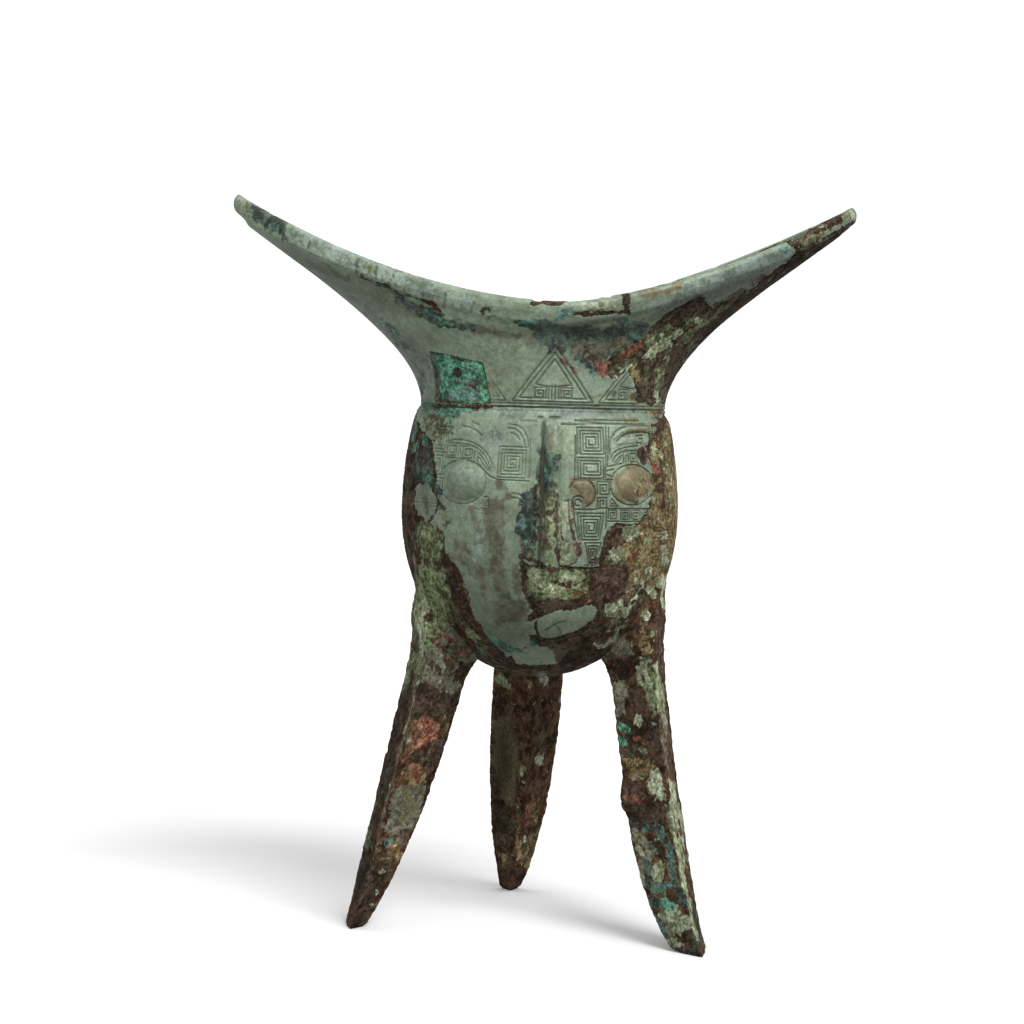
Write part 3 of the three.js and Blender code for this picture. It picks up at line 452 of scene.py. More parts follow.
# The same along lines of pixels, nearly all painted shade and painted highlights (under the rim bands and lips, along
# the legs' ridges and facets): the line, its half width and the change
frontShadeLines = [
    ([(290, 256), (340, 282), (390, 304), (440, 322), (500, 332), (560, 334), (640, 322), (700, 300),
     (760, 274)], 9, -0.3), ([(640, 322), (700, 298), (745, 278), (795, 256), (835, 236)], 9, -0.4),
    ([(850, 228), (790, 272), (740, 310), (700, 348)], 8, -0.3),
    ([(285, 254), (325, 288), (360, 314), (390, 342), (408, 368), (418, 398)], 13, -0.45),
    ([(300, 240), (350, 262), (400, 283), (450, 300)], 6, 0.2), ([(640, 298), (700, 275), (780, 244)], 6, 0.15),
    ([(398, 690), (384, 760), (366, 840), (352, 920)], 6, -0.4),
    ([(402, 440), (399, 500), (404, 560), (412, 600)], 9, -0.05), ([(682, 430), (687, 500), (680, 560)], 8, 0.35),
    ([(416, 692), (409, 715), (403, 742), (395, 770), (388, 796), (382, 824), (374, 856), (365, 888),
     (353, 920)], 1.4, 0.5),
    ([(412, 692), (405, 715), (399, 742), (391, 770), (384, 796), (378, 824), (370, 856), (361, 888)], 3.5, -0.45),
    ([(655, 690), (663, 735), (668, 775), (673, 805), (679, 845), (685, 885), (692, 920)], 1.8, 0.5),
    ([(518, 715), (518, 760), (517, 800), (514, 850)], 1.4, -0.5),
]
# Painted shade for the back: the bowl darker low down and at the left, slightly brighter by the right lip; x, y, half
# width, half height, change
backShade = [(500, 470, 70, 40, -0.25), (500, 600, 60, 40, -0.35), (420, 420, 30, 20, -0.3), (640, 300, 60, 20, 0.1)]


# The side that the photograph doesn't show, in the same pixels, as seen from behind
backPatina = {
    "skin": {"ragged": 4, "areas": [
        [(215, 170), (540, 275), (870, 190), (870, 212), (780, 262), (700, 330), (640, 395), (600, 405), (470, 412),
         (390, 330), (300, 270), (215, 215)],
        [(380, 404), (690, 404), (676, 440), (600, 460), (560, 520), (600, 560), (580, 610), (520, 640), (470, 600),
         (452, 540), (400, 520), (380, 440)],
    ]},
    "bare": {"ragged": 5, "strokes": [
        [(300, 250, 4), (360, 290, 7), (410, 330, 8)], [(560, 320, 6), (620, 330, 9), (690, 300, 8)],
        [(440, 370, 9), (470, 400, 6)], [(560, 440, 10), (590, 480, 12), (640, 500, 12)],
        [(430, 470, 8), (450, 540, 9), (500, 590, 9)],
    ], "blots": [
        (820, 222, 16, 8), (505, 310, 8, 6), (610, 380, 14, 10),
    ]},
    "worn": {"ragged": 6, "areas": [[(395, 480), (470, 500), (500, 580), (400, 590)]]},
    "pale": {"ragged": 4, "strokes": [
        [(600, 560, 10), (640, 600, 12), (650, 660, 8)], [(420, 580, 8), (430, 650, 9)],
        [(520, 650, 8), (580, 640, 8)], [(660, 330, 5), (710, 300, 5)], [(380, 700, 5), (372, 780, 4)],
        [(640, 720, 6), (660, 800, 5)], [(505, 700, 5), (520, 780, 4)], [(360, 300, 3), (400, 330, 4)],
    ], "blots": [
        (245, 206, 10, 10), (852, 212, 9, 9), (575, 330, 8, 4), (480, 560, 8, 6), (560, 480, 6, 8),
    ]},
    "tan": {"ragged": 5, "strokes": [
        [(640, 440, 10), (660, 520, 12)], [(520, 720, 7), (515, 800, 6)], [(400, 760, 7), (396, 830, 6)],
    ], "blots": [
        (660, 860, 8, 12), (590, 500, 10, 8), (440, 620, 9, 12),
    ]},
    "olive": {"ragged": 5, "strokes": [[(410, 430, 9), (415, 540, 10)], [(660, 600, 8), (650, 660, 8)]]},
    "teal": {"ragged": 4, "strokes": [
        [(320, 262, 3), (380, 305, 6)], [(600, 328, 5), (670, 312, 5)], [(600, 470, 6), (636, 496, 7)],
        [(436, 480, 4), (450, 530, 5)], [(450, 380, 6), (470, 400, 4)], [(660, 820, 5), (670, 890, 5)],
    ], "blots": [
        (505, 312, 5, 4), (380, 850, 5, 8), (540, 600, 6, 5),
    ]},
    "azure": {"ragged": 3, "strokes": [[(608, 326, 2), (640, 318, 3)], [(612, 476, 2), (630, 490, 3)]]},
    "bronze": {"ragged": 3, "blots": [(462, 482, 18, 18), (512, 492, 9, 12), (620, 440, 12, 8)]},
    "malachite": {"ragged": 3, "blots": [(618, 482, 5, 4), (455, 390, 4, 4), (640, 318, 5, 3), (440, 505, 3, 6)]},
    "red": {"ragged": 3, "blots": [(610, 384, 7, 5), (650, 740, 4, 8), (400, 740, 5, 8), (520, 830, 4, 8)]},
    "dark": {"ragged": 5, "strokes": [
        [(430, 300, 3), (520, 325, 4)], [(690, 310, 5), (770, 275, 4)], [(410, 690, 8), (390, 780, 8)],
        [(520, 690, 10), (525, 760, 10)], [(650, 690, 8), (660, 780, 8)], [(470, 590, 6), (540, 650, 8)],
        [(640, 470, 6), (660, 560, 7)],
    ]},
    "stain_and_shade": {"ragged": 6, "strokes": [[(500, 440, 8), (520, 520, 10)], [(420, 360, 8), (440, 330, 6)]]},
    # pale bluish-grey along the rim bands, with their painted sheen
    "frost_and_sheen": {"ragged": 5, "strokes": [[(330, 250, 8), (450, 300, 8)], [(560, 306, 8), (760, 250, 8)]]},
    "grey": {"ragged": 5, "strokes": [
        [(400, 640, 6), (396, 700, 6)], [(520, 800, 7), (516, 850, 5)], [(650, 640, 6), (655, 700, 6)],
    ]},
}


def strokeGap(across, down, path):
    gap = np.full(len(across), farAway)
    for (x0, y0, r0), (x1, y1, r1) in zip(path[:-1], path[1:]):
        dx, dy = x1 - x0, y1 - y0
        share = np.clip(((across - x0) * dx + (down - y0) * dy) / (dx * dx + dy * dy + tiny), 0, 1)
        away = np.hypot(across - x0 - share * dx, down - y0 - share * dy)
        gap = np.minimum(gap, away - blend(r0, r1, share))
    return gap


def areaGap(across, down, corners):
    away = strokeGap(across, down, [(x, y, 0) for x, y in corners + corners[:1]])
    inside = np.zeros(len(across), bool)
    for (x0, y0), (x1, y1) in zip(corners, corners[1:] + corners[:1]):
        crosses = (y0 > down) != (y1 > down)
        inside ^= crosses & (across < (x1 - x0) * (down - y0) / (y1 - y0 + tiny) + x0)
    return np.where(inside, -away, away)


def blotGap(across, down, blot):
    x, y, halfWidth, halfHeight = blot
    away = np.hypot((across - x) / halfWidth, (down - y) / halfHeight)
    return (away - 1) * min(halfWidth, halfHeight)


def nearShape(across, down, points, margin):
    points = np.array(points, float)
    low, high = points.min(0) - margin, points.max(0) + margin
    return np.nonzero((across > low[0]) & (across < high[0]) & (down > low[1]) & (down < high[1]))[0]


def lineGap(u, v, lines, margin=1.2):
    gap = np.full(len(u), 9.0)
    for line in lines:
        near = nearShape(u, v, line, margin)
        if len(near):
            path = [(a, b, 0) for a, b in line]
            gap[near] = np.minimum(gap[near], strokeGap(u[near], v[near], path))
    return gap


def layerGap(layer, across, down, ragged):
    gap = np.full(len(across), farAway)
    margin = 25  # pixels
    for corners in layer.get("areas", ()):
        near = nearShape(across, down, corners, margin)
        gap[near] = np.minimum(gap[near], areaGap(across[near], down[near], corners))
    for path in layer.get("strokes", ()):
        near = nearShape(across, down, [spot[:2] for spot in path], margin)
        gap[near] = np.minimum(gap[near], strokeGap(across[near], down[near], path))
    for blot in layer.get("blots", ()):
        near = nearShape(across, down, [blot[:2]], margin + max(blot[2:]))
        gap[near] = np.minimum(gap[near], blotGap(across[near], down[near], blot))
    return gap + layer["ragged"] * ragged


def sideSpot(points, isRound):
    across, down = photoSpot(points)
    if isRound:
        # Past this turn a round body's sides are unrolled, so that patches aren't drawn out there
        limit, cameraTurn, pixelsPerMm = math.radians(58), 0.62, 3.5
        turn = np.arctan2(points[:, 0], -points[:, 1]) + math.radians(90 - photoView["heading"] + cameraTurn)
        turn = (turn + math.pi) % (2 * math.pi) - math.pi
        over = np.maximum(np.abs(turn) - limit, 0)
        unrolled = math.sin(limit) + over * math.cos(limit)
        shift = np.where(over > 0, unrolled - np.sin(limit + over), 0) * np.sign(turn)
        across = across + shift * np.hypot(points[:, 0], points[:, 1]) * pixelsPerMm
    return across, down


def shadeField(across, down, spots, lines=()):
    total = np.zeros(len(across))
    for line, halfWidth, change in lines:
        away = strokeGap(across, down, [(x, y, 0) for x, y in line])
        total += change * np.exp(-(away / halfWidth) ** 2)
    for x, y, halfWidth, halfHeight, change in spots:
        total += change * np.exp(-((across - x) / halfWidth) ** 2 - ((down - y) / halfHeight) ** 2)
    return np.exp(total)


def patina(points, normals, seed, isRound=False, inside=None):
    warp = np.stack([roughNoise(points, 7.0, 3, seed + 40 + side) for side in range(3)], 1)
    facing = -(normals @ viewAhead) + 0.16 * roughNoise(points, 9, 2, seed + 5)
    front = ease(-0.28, -0.16, facing)
    if inside is not None:
        # the front's patches run on a little way round the two ends
        front = np.maximum(front, 1 - ease(2, 7, points[:, 1] + 7 * roughNoise(points, 7, 3, seed + 63)))
    spots = {}
    for side, turned in (("front", points), ("back", points * np.array([-1, -1, 1]))):
        across, down = sideSpot(turned, isRound)
        spots[side] = across + 2 * warp[:, 0], down + 2 * warp[:, 2]
    gaps = {}
    for number, name in enumerate(frontPatina):
        first = seed + 3 * number
        ragged = roughNoise(points, 3.6, 2, first) + 0.9 * roughNoise(points, 1.0, 2, first + 1)
        seen = layerGap(frontPatina[name], *spots["front"], ragged)
        unseen = layerGap(backPatina[name], *spots["back"], ragged)
        gaps[name] = blend(np.clip(unseen, -40, 40), np.clip(seen, -40, 40), front)
    gaps["skin"] = np.maximum(gaps["skin"], -gaps.pop("bare"))
    masks = {name: np.clip(0.5 - gap / frontPatina[name]["soft"], 0, 1) for name, gap in gaps.items()}
    masks["outline"] = np.clip(1 - np.abs(gaps["skin"] - 0.9) / 1.9, 0, 1)
    masks["crack"] = (1 - ease(0.3, 1.5, lineGap(*spots["front"], frontCracks, margin=3))) * front
    # shade: painted shade and painted highlights, with some patina tone, blended from the back's and the front's tables
    masks["shade"] = blend(
        shadeField(*spots["back"], backShade), shadeField(*spots["front"], frontShade, frontShadeLines), front)
    if inside is not None:
        within = {"shade": 0.8, "skin": ease(-0.1, 0.1, roughNoise(points, 22, 4, seed + 60)),
                  "teal": ease(0.3, 0.5, roughNoise(points, 12, 4, seed + 61)),
                  "pale": ease(0.3, 0.5, roughNoise(points, 8, 4, seed + 62))}
        masks = {name: np.where(inside, within.get(name, 0.0), values) for name, values in masks.items()}
    return masks


def keptShare(masks):
    # How much of an engraved line wear and crust have left
    return np.clip(1 - 0.85 * masks["worn"] - 0.45 * (1 - masks["skin"]), 0, 1)


def wearLift(points, seed, sway, pits, bare=1):
    # A slow sway and sharper pits, each as (how high, how wide) in millimetres
    rise = sway[0] * roughNoise(points, sway[1], 3, seed)
    return rise - pits[0] * ease(0.2, 0.8, roughNoise(points, pits[1], 3, seed + 1)) * bare


# Ornament: engraved lines on the unrolled wall, as (millimetres round the wall from the flange, height)

def bowlRadius(height):
    form = bowlForm
    share = np.clip((height - form["widestHeight"]) / (form["shoulderHeight"] - form["widestHeight"]), 0, 1)
    upper = form["radius"] - (form["radius"] - form["shoulderRadius"]) * share ** 2.2
    drop = np.clip((form["widestHeight"] - height) / (form["widestHeight"] - form["baseHeight"]), 0, 1)
    return np.where(height >= form["widestHeight"], upper, form["radius"] * np.sqrt(1 - drop ** 2))


def wallSpots(spots):
    # Where pixels of the photograph fall on the bowl's wall
    spots = np.array(spots, float)
    aim = (spots - photoView["middle"]) / photoView["focal"]
    rays = viewAhead + aim[:, :1] * viewRight - aim[:, 1:] * viewUp
    start = photoView["stand"]
    radius = np.full(len(spots), bowlForm["radius"])
    for _ in range(6):
        a = np.sum(rays[:, :2] ** 2, 1)
        b = rays[:, :2] @ start[:2]
        c = start[:2] @ start[:2] - radius ** 2
        reach = (-b - np.sqrt(np.maximum(b * b - a * c, 0))) / a
        points = start + rays * reach[:, None]
        radius = bowlRadius(points[:, 2])
    return np.stack([bowlForm["radius"] * np.arctan2(points[:, 0], -points[:, 1]), points[:, 2]], 1)


def squareSpiral(near, far, low, high, pitch=1.0, narrowTo=1.0):
    # Starts at the low corner on the near side, and winds inwards
    side, middle, bottom, span = math.copysign(1, far - near), (near + far) / 2, low, high - low
    left, right = 0.0, abs(far - near)
    path = [(left, low), (left, high)]
    while right - left > pitch * 0.9 and high - low > pitch * 0.9:
        path += [(right, high), (right, low), (left + pitch, low), (left + pitch, high - pitch)]
        left, right, low, high = left + pitch, right - pitch, low + pitch, high - pitch
    path = [(near + side * u, v) for u, v in path]
    return [(middle + (u - middle) * blend(narrowTo, 1, (v - bottom) / span), v) for u, v in path]


def ringLine(x, y, halfWidth, halfHeight, start=0, end=360, steps=30):
    turns = [math.radians(blend(start, end, step / steps)) for step in range(steps + 1)]
    return [(x + halfWidth * math.cos(turn), y - halfHeight * math.sin(turn)) for turn in turns]


# The two halves of the mask as the photograph shows them, in its pixels. A spiral is (near, far, top, bottom,
# pitch in millimetres, how narrow its low end is), a ring is (x, y, half width, half height, start, end).
rightMask = {
    "spirals": [
        (577, 603, 428, 454.5, 0.87, 1), (577.5, 603, 458, 478.5, 0.87, 1), (597, 608.5, 482, 494.5, 0.85, 1),
        (597, 606, 498, 508, 0.8, 1), (576.5, 603, 513.5, 540, 0.87, 0.75), (584, 600, 543, 563, 0.87, 0.35),
        (608, 616, 510.5, 519, 0.72, 1), (620.5, 629, 510.5, 519.5, 0.72, 1), (631, 639.5, 510.5, 519.5, 0.72, 1),
        (642, 649, 510, 519.5, 0.72, 1), (627.5, 636.5, 451, 462, 0.8, 1),
    ],
    "rings": [
        (631.2, 485, 21.4, 20.2), (581.5, 493, 13.2, 14.4, -72, 160), (577.4, 502.8, 3.0, 3.2, 0, 300),
        (577.6, 503, 6.3, 6.8, 10, 190),
    ],
    "lines": [
        [(561, 424.8), (600, 424.2), (645, 424.6)], [(575, 421.2), (610, 420.6), (640, 421)],
        [(605, 427), (605, 478)], [(608, 428), (607.6, 446), (607, 466)], [(575, 436), (574.4, 480)],
        [(573, 480.3), (612, 480)],
        [(609.5, 455), (608.8, 446), (610.5, 438), (614, 432.5), (619, 428.8), (626, 426.6), (640, 425.6), (650, 427),
         (656, 431)],
        [(616, 441.5), (620, 437), (626, 434), (634, 432.6), (642, 432.3), (655, 434.5)],
        [(642, 435.5), (634.8, 436.5), (634.5, 443), (641.5, 443.4), (641.3, 438.8), (638, 439)],
        [(610.5, 458), (613, 453), (618, 449.8), (626, 447.4), (637, 446)],
        [(612, 461.5), (615, 456.5), (620, 452.6), (626, 450)],
        [(614, 463.5), (617.5, 459), (620.5, 456), (619.5, 460.5), (616, 464.5)],
        [(622.8, 453), (622.8, 463.5)], [(625.3, 455.5), (625.3, 463.5)], [(622.8, 453), (627, 451)],
        [(606.5, 467), (614, 465.5), (621, 463.6)], [(607, 471), (613, 469.5)], [(606.5, 475), (612.5, 477)],
        [(609.5, 506), (617, 506.5), (611, 499), (610, 503.5), (613.5, 504.5)],
        [(574, 509.5), (592, 509.8), (600, 508.6), (650, 508.6)], [(606, 521.3), (648, 521.5)],
        [(605.8, 510), (605.4, 530)], [(568, 500), (569, 520), (573, 541)], [(572.6, 500), (574, 520), (578.5, 541)],
        [(556.5, 515), (557.5, 530), (563, 541)], [(566, 566), (575, 563), (580, 552)], [(546, 570), (600, 567)],
    ],
    "raised": [
        # strokes of (x, y, half width)
        [(575, 485, 3), (582, 486.5, 6), (587, 492, 7), (587, 499, 6), (584, 505, 3)],
        [(617, 444, 2), (624, 441, 4), (633, 440.5, 4)],
        [(613, 438, 2), (619, 432.5, 2.6), (628, 429.6, 2.6), (645, 429, 2.4)],
    ],
}
leftMask = {
    "spirals": [
        (528.5, 498, 447, 478, 0.9, 1), (458.5, 447.5, 443, 455.5, 0.8, 1), (474.5, 462.5, 446.5, 458.5, 0.8, 1),
    ],
    "rings": [(462.3, 482, 23.2, 22), (463, 523, 6, 8, 60, 300), (463.5, 522, 2.4, 3.4, 0, 250)],
    "lines": [
        [(508, 424), (517, 425.5), (523.5, 430), (527, 437), (528.5, 446)],
        [(508, 428), (515, 429), (520, 433), (523.5, 440), (524.5, 446)], [(510, 432.5), (516, 435), (519.5, 440)],
        [(446, 441.5), (455, 439.6), (463, 440), (472, 442.5), (480, 446.8), (486, 452.5), (490, 459), (492.5, 468)],
        [(462, 443.5), (470, 444.8), (478, 448.6), (484, 454.5), (488, 461.5), (491, 470)],
        [(478, 452.5), (482, 457), (486, 464), (490, 471.5)], [(479.5, 458), (482.5, 463.5), (488, 471)],
        [(477.5, 448.5), (477.5, 462)], [(460.4, 441), (460.4, 458)],
        [(446.5, 457.5), (455, 457.8), (464, 459.5), (473, 462), (480, 466), (485, 471.5), (489.5, 476.5), (497, 479.5),
         (528.5, 481.5)],
        [(462, 426), (470, 427.5), (477, 431), (482, 436)], [(472, 422), (479, 425)],
        [(484.5, 497), (488, 497), (488.5, 509.5), (480, 508.5)], [(484, 506), (488, 499), (488, 506.5), (484, 506)],
        [(475, 509), (488, 512)], [(478, 513), (487, 515)], [(512, 493.5), (519, 494.5), (525, 500)],
        [(512, 498), (518, 498.5), (522, 503)], [(530, 440), (529.4, 478)], [(520, 421), (536, 421.5)],
    ],
}
# Scrolls on the two ends under the lips, where the photograph shows none: (near, far, low, high), in millimetres
endScrolls = [
    (near, near + 6.6, low, low + 6.4) for near in (34, 42, 50, 58) for low in (141.2, 133.9, 126.6, 119.2, 111.9)]
maskCut = {"lineHalfWidth": 0.19, "soft": 0.15, "depth": 0.46, "raise": 0.5, "leftShare": 0.75}


def maskLines(half):
    lines = [wallSpots(line).tolist() for line in half["lines"]]
    lines += [wallSpots(ringLine(*ring)).tolist() for ring in half["rings"]]
    for near, far, top, bottom, pitch, narrowTo in half["spirals"]:
        middle, level = (near + far) / 2, (top + bottom) / 2
        corners = wallSpots([(near, level), (far, level), (middle, bottom), (middle, top)])
        lines.append(squareSpiral(corners[0][0], corners[1][0], corners[2][1], corners[3][1], pitch, narrowTo))
    return lines


def lineCut(u, v, lines):
    edge = maskCut["lineHalfWidth"]
    return 1 - ease(edge - maskCut["soft"], edge + maskCut["soft"], lineGap(u, v, lines))


def maskRelief(u, v, back):
    across = np.abs(u) if back else u
    cut = lineCut(across, v, maskLines(rightMask))
    if not back:
        cut = np.maximum(cut, maskCut["leftShare"] * lineCut(u, v, maskLines(leftMask)))
    cut = np.maximum(cut, 0.8 * lineCut(np.abs(u), v, [squareSpiral(*scroll) for scroll in endScrolls]))
    raised = np.zeros(len(u))
    mmPerPixel = 0.29
    for stroke in rightMask["raised"]:
        path = wallSpots([spot[:2] for spot in stroke])
        path = [(a, b, spot[2] * mmPerPixel) for (a, b), spot in zip(path, stroke)]
        near = nearShape(across, v, [spot[:2] for spot in path], 3)
        swell = 1 - ease(-0.8, 0.2, strokeGap(across[near], v[near], path))
        raised[near] = np.maximum(raised[near], swell)
    return cut * (1 - 0.9 * raised), raised


blades = {"count": 9, "footHeight": 155.6, "tipHeight": 171.4, "halfWidth": 11.6, "lineHalfWidth": 0.2, "depth": 0.4}


def bladeRelief(turn, height, radius):
    pitch = 2 * math.pi / blades["count"]
    u = ((turn + pitch / 2) % pitch - pitch / 2) * radius
    foot, tip, half = blades["footHeight"], blades["tipHeight"], blades["halfWidth"]
    lines = [
        [(0, tip), (half, foot), (0, foot)],
        [(0, tip - 2.1), (half - 2.1, foot + 1), (1.4, foot + 1)],
        [(0, 167.6), (5.0, 160.4), (0, 159.7)],
        [(0.5, 160.2), (0.5, foot + 0.9)], [(1.4, 159.8), (1.4, foot + 0.9)],
        squareSpiral(2.1, 5.2, foot + 1.2, foot + 4.0, 0.8),
    ]
    gap = lineGap(np.abs(u), height, lines)
    for line in (154.9, 153.9):
        gap = np.minimum(gap, np.abs(height - line))
    return 1 - ease(blades["lineHalfWidth"] - 0.18, blades["lineHalfWidth"] + 0.2, gap)


# Meshes from grids of points

def gridNormals(points, wrapColumns=False):
    along = np.roll(points, -1, 1) - np.roll(points, 1, 1) if wrapColumns else np.gradient(points, axis=1)
    normals = np.cross(along, np.gradient(points, axis=0))
    return normals / np.maximum(np.linalg.norm(normals, axis=2, keepdims=True), tiny)


def tubeNormals(points, row, outward):
    # The point of one row that lies furthest outward shows which way the normals have to face
    normals = gridNormals(points, wrapColumns=True)
    outer = np.argmax(points[row] @ outward)
    return normals if normals[row, outer] @ outward > 0 else -normals


def closeEnds(rows, shares):
    # Draws both end rings of a tube in to their middles
    first, last = rows[0], rows[-1]
    for share in shares:
        rows.insert(0, blend(first.mean(0), first, share))
        rows.append(blend(last.mean(0), last, share))
    return np.array(rows)


def smoothLoop(loop, times):
    for _ in range(times):
        loop = (np.roll(loop, 1, 0) + 2 * loop + np.roll(loop, -1, 0)) / 4
    return loop


def spotsAlong(runs):
    return np.concatenate([np.linspace(a, b, count, endpoint=False) for a, b, count in runs])


def setFields(mesh, fields):
    for field, values in fields.items():
        layer = mesh.attributes.new(name=field, type="FLOAT", domain="POINT")
        layer.data.foreach_set("value", values.astype(np.float32).ravel())


def gridPiece(name, points, fields, wrapRows=False, wrapColumns=False, fill=False):
    def wrapped(values):
        if wrapRows:
            values = np.concatenate([values, values[:1]], 0)
        return np.concatenate([values, values[:, :1]], 1) if wrapColumns else values

    points = wrapped(points)
    rows, columns = points.shape[:2]
    bpy.ops.object.select_all(action="DESELECT")
    bpy.ops.mesh.primitive_grid_add(
        x_subdivisions=columns - 1, y_subdivisions=rows - 1, size=1, calc_uvs=False)
    piece = bpy.context.object
    piece.name = piece.data.name = name
    mesh = piece.data
    mesh.vertices.foreach_set("co", ((points + axisPlace) * mm).ravel())
    setFields(mesh, {field: wrapped(values) for field, values in fields.items()})
    bpy.ops.object.mode_set(mode="EDIT")
    bpy.ops.mesh.select_mode(type="VERT")
    bpy.ops.mesh.select_all(action="SELECT")
    bpy.ops.mesh.remove_doubles(threshold=2e-6)
    if fill:
        bpy.ops.mesh.select_mode(type="EDGE")
        bpy.ops.mesh.select_all(action="DESELECT")
        bpy.ops.mesh.select_non_manifold(
            extend=False, use_wire=False, use_boundary=True, use_multi_face=False,
            use_non_contiguous=False, use_verts=False)
        bpy.ops.mesh.fill_holes(sides=0)
    bpy.ops.mesh.select_all(action="SELECT")
    bpy.ops.mesh.normals_make_consistent(inside=False)
    bpy.ops.object.mode_set(mode="OBJECT")
    bpy.ops.object.shade_smooth_by_angle(angle=math.radians(48))
    print(f"{name}: {rows} x {columns} points")
    return piece


def finishPiece(piece, material, node):
    piece.data.materials.clear()
    piece.data.materials.append(material)
    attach(piece, "root")
    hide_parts(node)


def meshFields(masks):
    return {name: values for name, values in masks.items() if name != "worn"}


def patinaPiece(name, points, masks, bronze, node, **wraps):
    fields = {field: values.reshape(points.shape[:2]) for field, values in meshFields(masks).items()}
    finishPiece(gridPiece(name, points, fields, **wraps), bronzes[bronze], node)


# Patina materials: the masks choose between layers, each with three tones, over a mottled crust

def newNode(tree, kind, **settings):
    node = tree.nodes.new(kind)
    for name, value in settings.items():
        setattr(node, name, value)
    return node


def noiseNode(tree, place, scale, detail, roughness, drift=None):
    # drift sets a noise apart from others of its kind
    noise = newNode(tree, "ShaderNodeTexNoise", noise_dimensions="3D" if drift is None else "4D")
    tree.links.new(place, noise.inputs["Vector"])
    settings = {"Scale": scale, "Detail": detail, "Roughness": roughness}
    if drift is not None:
        settings["W"] = drift
    for socket, value in settings.items():
        noise.inputs[socket].default_value = value
    return noise.outputs["Fac"]


def spread(tree, value, low, high, toLow=0.0, toHigh=1.0):
    node = newNode(tree, "ShaderNodeMapRange", interpolation_type="SMOOTHSTEP")
    ends = {"From Min": low, "From Max": high, "To Min": toLow, "To Max": toHigh}
    for socket, end in ends.items():
        node.inputs[socket].default_value = end
    tree.links.new(value, node.inputs["Value"])
    return node.outputs["Result"]


def sums(tree, operation, a, b):
    node = newNode(tree, "ShaderNodeMath", operation=operation)
    for socket, value in zip(node.inputs, (a, b)):
        if isinstance(value, (int, float)):
            socket.default_value = value
        else:
            tree.links.new(value, socket)
    return node.outputs[0]


def mixColours(tree, share, a, b, way="MIX"):
    node = newNode(tree, "ShaderNodeMix", data_type="RGBA", blend_type=way)
    sockets = {"Factor": share, "A": a, "B": b}
    for name, value in sockets.items():
        socket = next(s for s in node.inputs if s.name == name and s.enabled)
        if isinstance(value, tuple):
            socket.default_value = (*value, 1)
        elif isinstance(value, (int, float)):
            socket.default_value = value
        else:
            tree.links.new(value, socket)
    return next(s for s in node.outputs if s.enabled)


def mixValues(tree, share, a, b):
    node = newNode(tree, "ShaderNodeMix", data_type="FLOAT")
    for socket, value in zip((0, 2, 3), (share, a, b)):
        tree.links.new(value, node.inputs[socket])
    return node.outputs[0]


def maskNode(tree, name):
    return newNode(tree, "ShaderNodeAttribute", attribute_name=name).outputs["Fac"]


# Dark, middle and light tone of each layer, how far noise breaks it up, and the range over which its mask covers
patinaLayers = {
    "frost_and_sheen": {"tones": ((0.12, 0.153, 0.12), (0.183, 0.235, 0.188), (0.25, 0.32, 0.262)),
              "patchy": 0.9, "flecks": 0.1, "grainy": 0.5, "cover": (0.2, 1.0)},
    "grey": {"tones": ((0.08, 0.074, 0.048), (0.138, 0.132, 0.09), (0.205, 0.206, 0.148)),
             "patchy": 2.2, "flecks": 0.35, "grainy": 1.0, "cover": (0.35, 0.75)},
    "bronze": {"tones": ((0.115, 0.098, 0.052), (0.14, 0.121, 0.065), (0.165, 0.146, 0.082)),
               "patchy": 0.8, "flecks": 0.1, "grainy": 0.6, "cover": (0.2, 1.0)},
    "olive": {"tones": ((0.05, 0.05, 0.026), (0.115, 0.138, 0.07), (0.19, 0.23, 0.13)),
              "patchy": 2.2, "flecks": 0.7, "grainy": 1.2, "cover": (0.38, 0.72)},
    "tan": {"tones": ((0.07, 0.049, 0.024), (0.134, 0.1, 0.045), (0.215, 0.177, 0.09)),
            "patchy": 2.0, "flecks": 0.9, "grainy": 1.4, "cover": (0.4, 0.66)},
    "teal": {"tones": ((0.022, 0.029, 0.023), (0.05, 0.072, 0.058), (0.095, 0.145, 0.113)),
             "patchy": 2.0, "flecks": 0.45, "grainy": 1.4, "cover": (0.36, 0.7)},
    "dark": {"tones": ((0.022, 0.0145, 0.0095), (0.05, 0.0335, 0.0225), (0.09, 0.064, 0.0445)),
             "patchy": 2.0, "flecks": 0.3, "grainy": 1.2, "cover": (0.4, 0.68)},
    "azure": {"tones": ((0.045, 0.085, 0.068), (0.085, 0.16, 0.13), (0.15, 0.275, 0.23)),
              "patchy": 2.6, "flecks": 0.3, "grainy": 1.0, "cover": (0.35, 0.8)},
    "pale": {"tones": ((0.12, 0.13, 0.075), (0.21, 0.24, 0.15), (0.36, 0.40, 0.28)),
             "patchy": 2.6, "flecks": 0.55, "grainy": 1.6, "cover": (0.45, 0.7)},
    "malachite": {"tones": ((0.025, 0.075, 0.05), (0.058, 0.17, 0.112), (0.13, 0.31, 0.21)),
                  "patchy": 1.8, "flecks": 0.35, "grainy": 0.8, "cover": (0.42, 0.7)},
    "red": {"tones": ((0.068, 0.026, 0.016), (0.15, 0.06, 0.038), (0.235, 0.118, 0.082)),
            "patchy": 2.8, "flecks": 0.6, "grainy": 1.8, "cover": (0.42, 0.8)},
}
